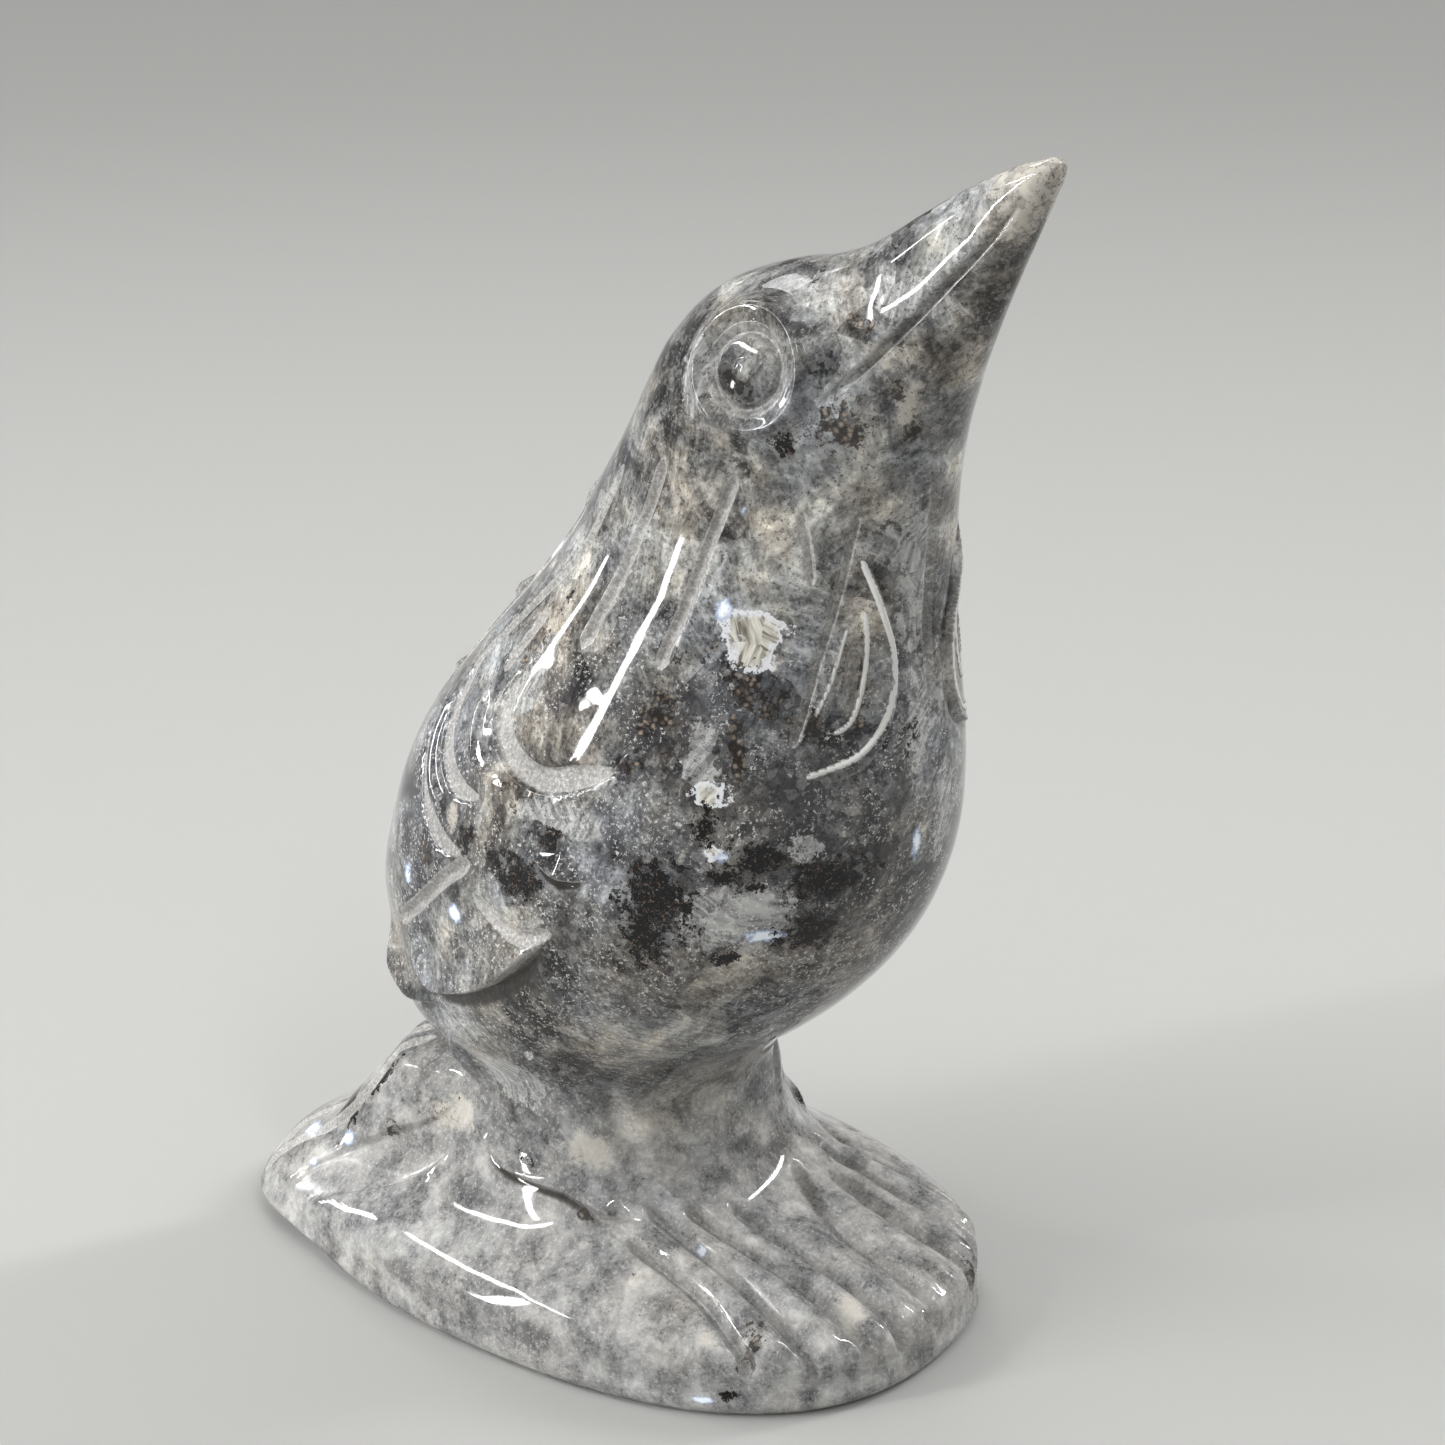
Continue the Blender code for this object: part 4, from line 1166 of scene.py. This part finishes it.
def carved_lines(nodes, fine, color, ragged):
    """Painted shade in the creases at the foot of laps, lines left frosted and pale, rims painted white as a
    highlight, and how matte the stone is in them.
    """
    crease_shading = nodes.plus(nodes.field("crease_shading"), nodes.times(ragged, CREASE_RAGGED))
    # Painted shade darkens the creases at the foot of laps
    color = nodes.mix(nodes.remap(crease_shading, *CREASE_SHADE_RANGE), color, PAINTED_CREASE_SHADE)
    inside = nodes.plus(nodes.field("cut"), nodes.times(ragged, CUT_RAGGED))
    frosted = nodes.field("frosted")
    matte = nodes.times(nodes.remap(inside, *CUT_EDGE), frosted)
    frost = nodes.ramp(nodes.remap(fine, *FROST_GRAIN), FROST_TONES)
    # The rims turn white here, a painted highlight
    pale = nodes.mix(nodes.remap(frosted, *RIM_HIGHLIGHT_FROST), frost, PAINTED_RIM_HIGHLIGHT)
    return nodes.mix(nodes.times(matte, FROST_COVER), color, pale), matte


def fine_relief(nodes, fine):
    """Normals of the pits in the dark grains and of the grinding in the carved lines."""
    ground = nodes.times(nodes.remap(nodes.field("cut"), *CUT_EDGE), nodes.field("frosted"))
    grains = nodes.math("MAXIMUM", nodes.field("black"), nodes.field("brown"))
    depth = nodes.math("MAXIMUM", nodes.times(ground, GRINDING_DEPTH), nodes.remap(grains, *PITS))
    sockets = {"Strength": 1.0, "Distance": 1.0 / MILLIMETRES, "Height": nodes.times(fine, depth)}
    return nodes.add("ShaderNodeBump", sockets).outputs[0]


def new_material(name):
    """A material, and the sockets of its shader."""
    material = bpy.data.materials.new(name)
    material.use_nodes = True
    return material, material.node_tree.nodes["Principled BSDF"].inputs


def polished_stone(settings):
    """Grey feldspar: polished all over but for its carved lines, with the glints and dark grains it holds."""
    material, sockets = new_material("polished_feldspar")
    nodes = Nodes(material.node_tree)
    place = nodes.scaled(nodes.add("ShaderNodeTexCoord").outputs["Object"], MILLIMETRES)
    height = nodes.add("ShaderNodeSeparateXYZ", {0: place}).outputs["Z"]
    edges = nodes.noise(place, EDGE_NOISE)
    ragged = nodes.times(nodes.math("SUBTRACT", edges, HALF), RAGGED)
    broad = nodes.noise(place, BROAD_NOISE)
    fine = nodes.noise(place, FINE_NOISE)
    push = pushes(nodes, place, PUSH_NOISE)

    color, streaks = ground_stone(nodes, place, push, settings)
    color = milky_stone(nodes, broad, color, height, ragged)
    color = streaked_sheets(nodes, color, streaks, ragged)
    color = crumbs(nodes, place, push, fine, broad, color, height)
    color, silver = glinting_sheets(nodes, color, streaks, ragged)
    color, dark = dark_grains(nodes, place, push, fine, color, ragged)
    color, matte = carved_lines(nodes, fine, color, ragged)

    rough = nodes.weighed((dark, silver, matte), ROUGH_SHARES + (settings.matte_roughness,))
    rough = nodes.plus(rough, nodes.remap(edges, *POLISH_CHANGE))
    rough = nodes.math("ADD", rough, settings.polish_roughness, True)

    sockets["IOR"].default_value = STONE_IOR
    sockets["Specular IOR Level"].default_value = STONE_SPECULAR
    nodes.link(color, sockets["Base Color"])
    nodes.link(rough, sockets["Roughness"])
    nodes.link(nodes.times(silver, SILVER_METAL), sockets["Metallic"])
    nodes.link(fine_relief(nodes, fine), sockets["Normal"])
    return material


def floor_material():
    """Plain pale paper."""
    material, sockets = new_material("pale_floor")
    sockets["Base Color"].default_value = FLOOR_COLOR + (1.0,)
    sockets["Roughness"].default_value = FLOOR_ROUGHNESS
    return material


def direction(azimuth, elevation):
    """Unit vector from the object towards a viewer at this azimuth and elevation in degrees."""
    around = math.radians(azimuth)
    up = math.radians(elevation)
    return Vector((math.sin(around) * math.cos(up), -math.cos(around) * math.cos(up), math.sin(up)))


def add_object(name, data):
    """A new object in the scene."""
    made = bpy.data.objects.new(name, data)
    bpy.context.scene.collection.objects.link(made)
    return made


def thinned(mesh, share):
    """The mesh with this share of its triangles, most of them where the carving is fine."""
    whole = add_object("whole_stone", mesh)
    thinning = whole.modifiers.new("thinning", "DECIMATE")
    thinning.ratio = share
    graph = bpy.context.evaluated_depsgraph_get()
    thin = bpy.data.meshes.new_from_object(
        whole.evaluated_get(graph), preserve_all_data_layers=True, depsgraph=graph
    )
    bpy.data.objects.remove(whole)
    bpy.data.meshes.remove(mesh)
    return thin


def polish(mesh):
    """Shades the mesh by the normals that it keeps, and its underside flat."""
    facing = np.zeros(len(mesh.vertices) * 3, np.float32)
    mesh.attributes["facing"].data.foreach_get("vector", facing)
    facing = facing.reshape(-1, 3)
    facing /= np.linalg.norm(facing, axis=1, keepdims=True)
    corners = facing[[loop.vertex_index for loop in mesh.loops]]
    for face in mesh.polygons:
        if not face.use_smooth:
            corners[list(face.loop_indices)] = (0.0, 0.0, -1.0)
    mesh.normals_split_custom_set([tuple(corner) for corner in corners])
    mesh.attributes.remove(mesh.attributes["facing"])


def add_stone(settings):
    """The carving in fine detail, in the place of the plain solid."""
    coarse = 1
    levels = even_levels(settings.rings // coarse)
    form, cuts = carve(bare_form(levels, settings.segments // coarse), levels)
    mesh = stone_mesh(form)
    # Thinning the mesh would dull its polish, so the smooth normals of the grid are kept on it
    keep_field(mesh, "facing", normals_of(form), "FLOAT_VECTOR", "vector")
    for name, field in {**cuts, **mineral_fields(form, levels)}.items():
        keep_field(mesh, name, field)
    if coarse == 1:
        mesh = thinned(mesh, settings.kept_share)
    polish(mesh)
    mesh.name = "raven_stone"
    mesh.materials.append(polished_stone(settings))
    stone = add_object("raven_stone", mesh)
    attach(stone, "root")
    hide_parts("raven_carving")


def add_floor():
    """A flat pale floor, larger than any view of it."""
    plane = bmesh.new()
    bmesh.ops.create_grid(plane, x_segments=1, y_segments=1, size=FLOOR_SIZE / 2)
    mesh = bpy.data.meshes.new("floor")
    plane.to_mesh(mesh)
    plane.free()
    mesh.materials.append(floor_material())
    add_object("floor", mesh)


def add_lights(settings):
    """Softboxes around the bird, and a pale room."""
    aim = Vector((0.0, 0.0, AIM_HEIGHT))
    for name, azimuth, elevation, distance, width, height, power in LIGHTS:
        data = bpy.data.lights.new(name, "AREA")
        data.shape = "RECTANGLE"
        data.size = width
        data.size_y = height
        data.energy = power * settings.light_strength
        data.spread = math.radians(LIGHT_SPREAD)
        lamp = add_object(name, data)
        back = direction(azimuth, elevation)
        lamp.location = aim + back * distance
        lamp.rotation_euler = back.to_track_quat("Z", "Y").to_euler()
    top = bpy.data.lights.new("top_light", "SUN")
    top.angle = math.radians(TOP_WIDTH)
    top.energy = TOP_STRENGTH * settings.light_strength
    add_object("top_light", top)
    world = bpy.data.worlds.new("studio")
    world.use_nodes = True
    world.node_tree.nodes["Background"].inputs[0].default_value = ROOM_COLOR + (1.0,)
    world.node_tree.nodes["Background"].inputs[1].default_value = settings.room_strength
    bpy.context.scene.world = world


def add_camera():
    """The camera of the portrait, and how its picture is shown."""
    data = bpy.data.cameras.new("portrait_camera")
    data.sensor_width = SENSOR
    data.lens = FOCAL_PIXELS / IMAGE_SIZE * SENSOR
    camera = add_object("portrait_camera", data)
    camera.location = CAMERA_PLACE
    camera.rotation_euler = direction(CAMERA_AZIMUTH, CAMERA_ELEVATION).to_track_quat("Z", "Y").to_euler()
    bpy.context.scene.camera = camera
    bpy.context.scene.view_settings.view_transform = "Standard"
    bpy.context.scene.view_settings.look = "None"


class RavenStoneSettings(bpy.types.PropertyGroup):
    """How finely the carving is made and how its stone looks."""

    rings: bpy.props.IntProperty(
        name="Rings", description="Rings from underside to beak tip", default=620, min=60, max=800
    )
    segments: bpy.props.IntProperty(
        name="Segments", description="Points in each ring", default=580, min=60, max=800
    )
    kept_share: bpy.props.FloatProperty(
        name="Kept share", description="Share of the triangles that stay", default=0.275, subtype="FACTOR"
    )
    crystal_scale: bpy.props.FloatProperty(
        name="Crystals", description="Crystals in a millimetre", default=0.16, min=0.02, max=1.0
    )
    polish_roughness: bpy.props.FloatProperty(
        name="Polish", description="Roughness of the polished stone", default=0.035, subtype="FACTOR"
    )
    matte_roughness: bpy.props.FloatProperty(
        name="Carved lines", description="Roughness added in the carved lines", default=0.45, subtype="FACTOR"
    )


class RavenStudioSettings(bpy.types.PropertyGroup):
    """Light of the studio."""

    light_strength: bpy.props.FloatProperty(
        name="Softboxes", description="Strength of all softboxes together", default=1.0, min=0.0, max=10.0
    )
    room_strength: bpy.props.FloatProperty(
        name="Room", description="Strength of the pale room", default=0.30, min=0.0, max=10.0
    )


class RAVEN_OT_stone(bpy.types.Operator):
    """Build the carving in fine detail"""

    bl_idname = "raven.stone"
    bl_label = "Carving"

    def execute(self, context):
        add_stone(context.scene.raven_stone)
        return {"FINISHED"}


class RAVEN_OT_studio(bpy.types.Operator):
    """Build the floor, the softboxes and the camera"""

    bl_idname = "raven.studio"
    bl_label = "Studio"

    def execute(self, context):
        add_floor()
        add_lights(context.scene.raven_studio)
        add_camera()
        return {"FINISHED"}


class RAVEN_PT_panel(bpy.types.Panel):
    """Steps and settings"""

    bl_idname = "RAVEN_PT_panel"
    bl_label = "Raven"
    bl_space_type = "VIEW_3D"
    bl_region_type = "UI"
    bl_category = "Raven"

    def draw(self, context):
        column = self.layout.column()
        for operator in OPERATORS:
            column.operator(operator.bl_idname)
        for settings in (context.scene.raven_stone, context.scene.raven_studio):
            for name in settings.__annotations__:
                column.prop(settings, name)


OPERATORS = (RAVEN_OT_stone, RAVEN_OT_studio)
CLASSES = (RavenStoneSettings, RavenStudioSettings) + OPERATORS + (RAVEN_PT_panel,)


def register():
    """Makes the settings, the steps and the panel known to Blender."""
    for item in CLASSES:
        bpy.utils.register_class(item)
    bpy.types.Scene.raven_stone = bpy.props.PointerProperty(type=RavenStoneSettings)
    bpy.types.Scene.raven_studio = bpy.props.PointerProperty(type=RavenStudioSettings)


def unregister():
    """Takes them away again."""
    del bpy.types.Scene.raven_studio
    del bpy.types.Scene.raven_stone
    for item in reversed(CLASSES):
        bpy.utils.unregister_class(item)


def main():
    """Builds the whole scene."""
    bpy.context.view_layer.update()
    register()
    bpy.ops.raven.stone()
    bpy.ops.raven.studio()


if __name__ == "__main__":
    main()
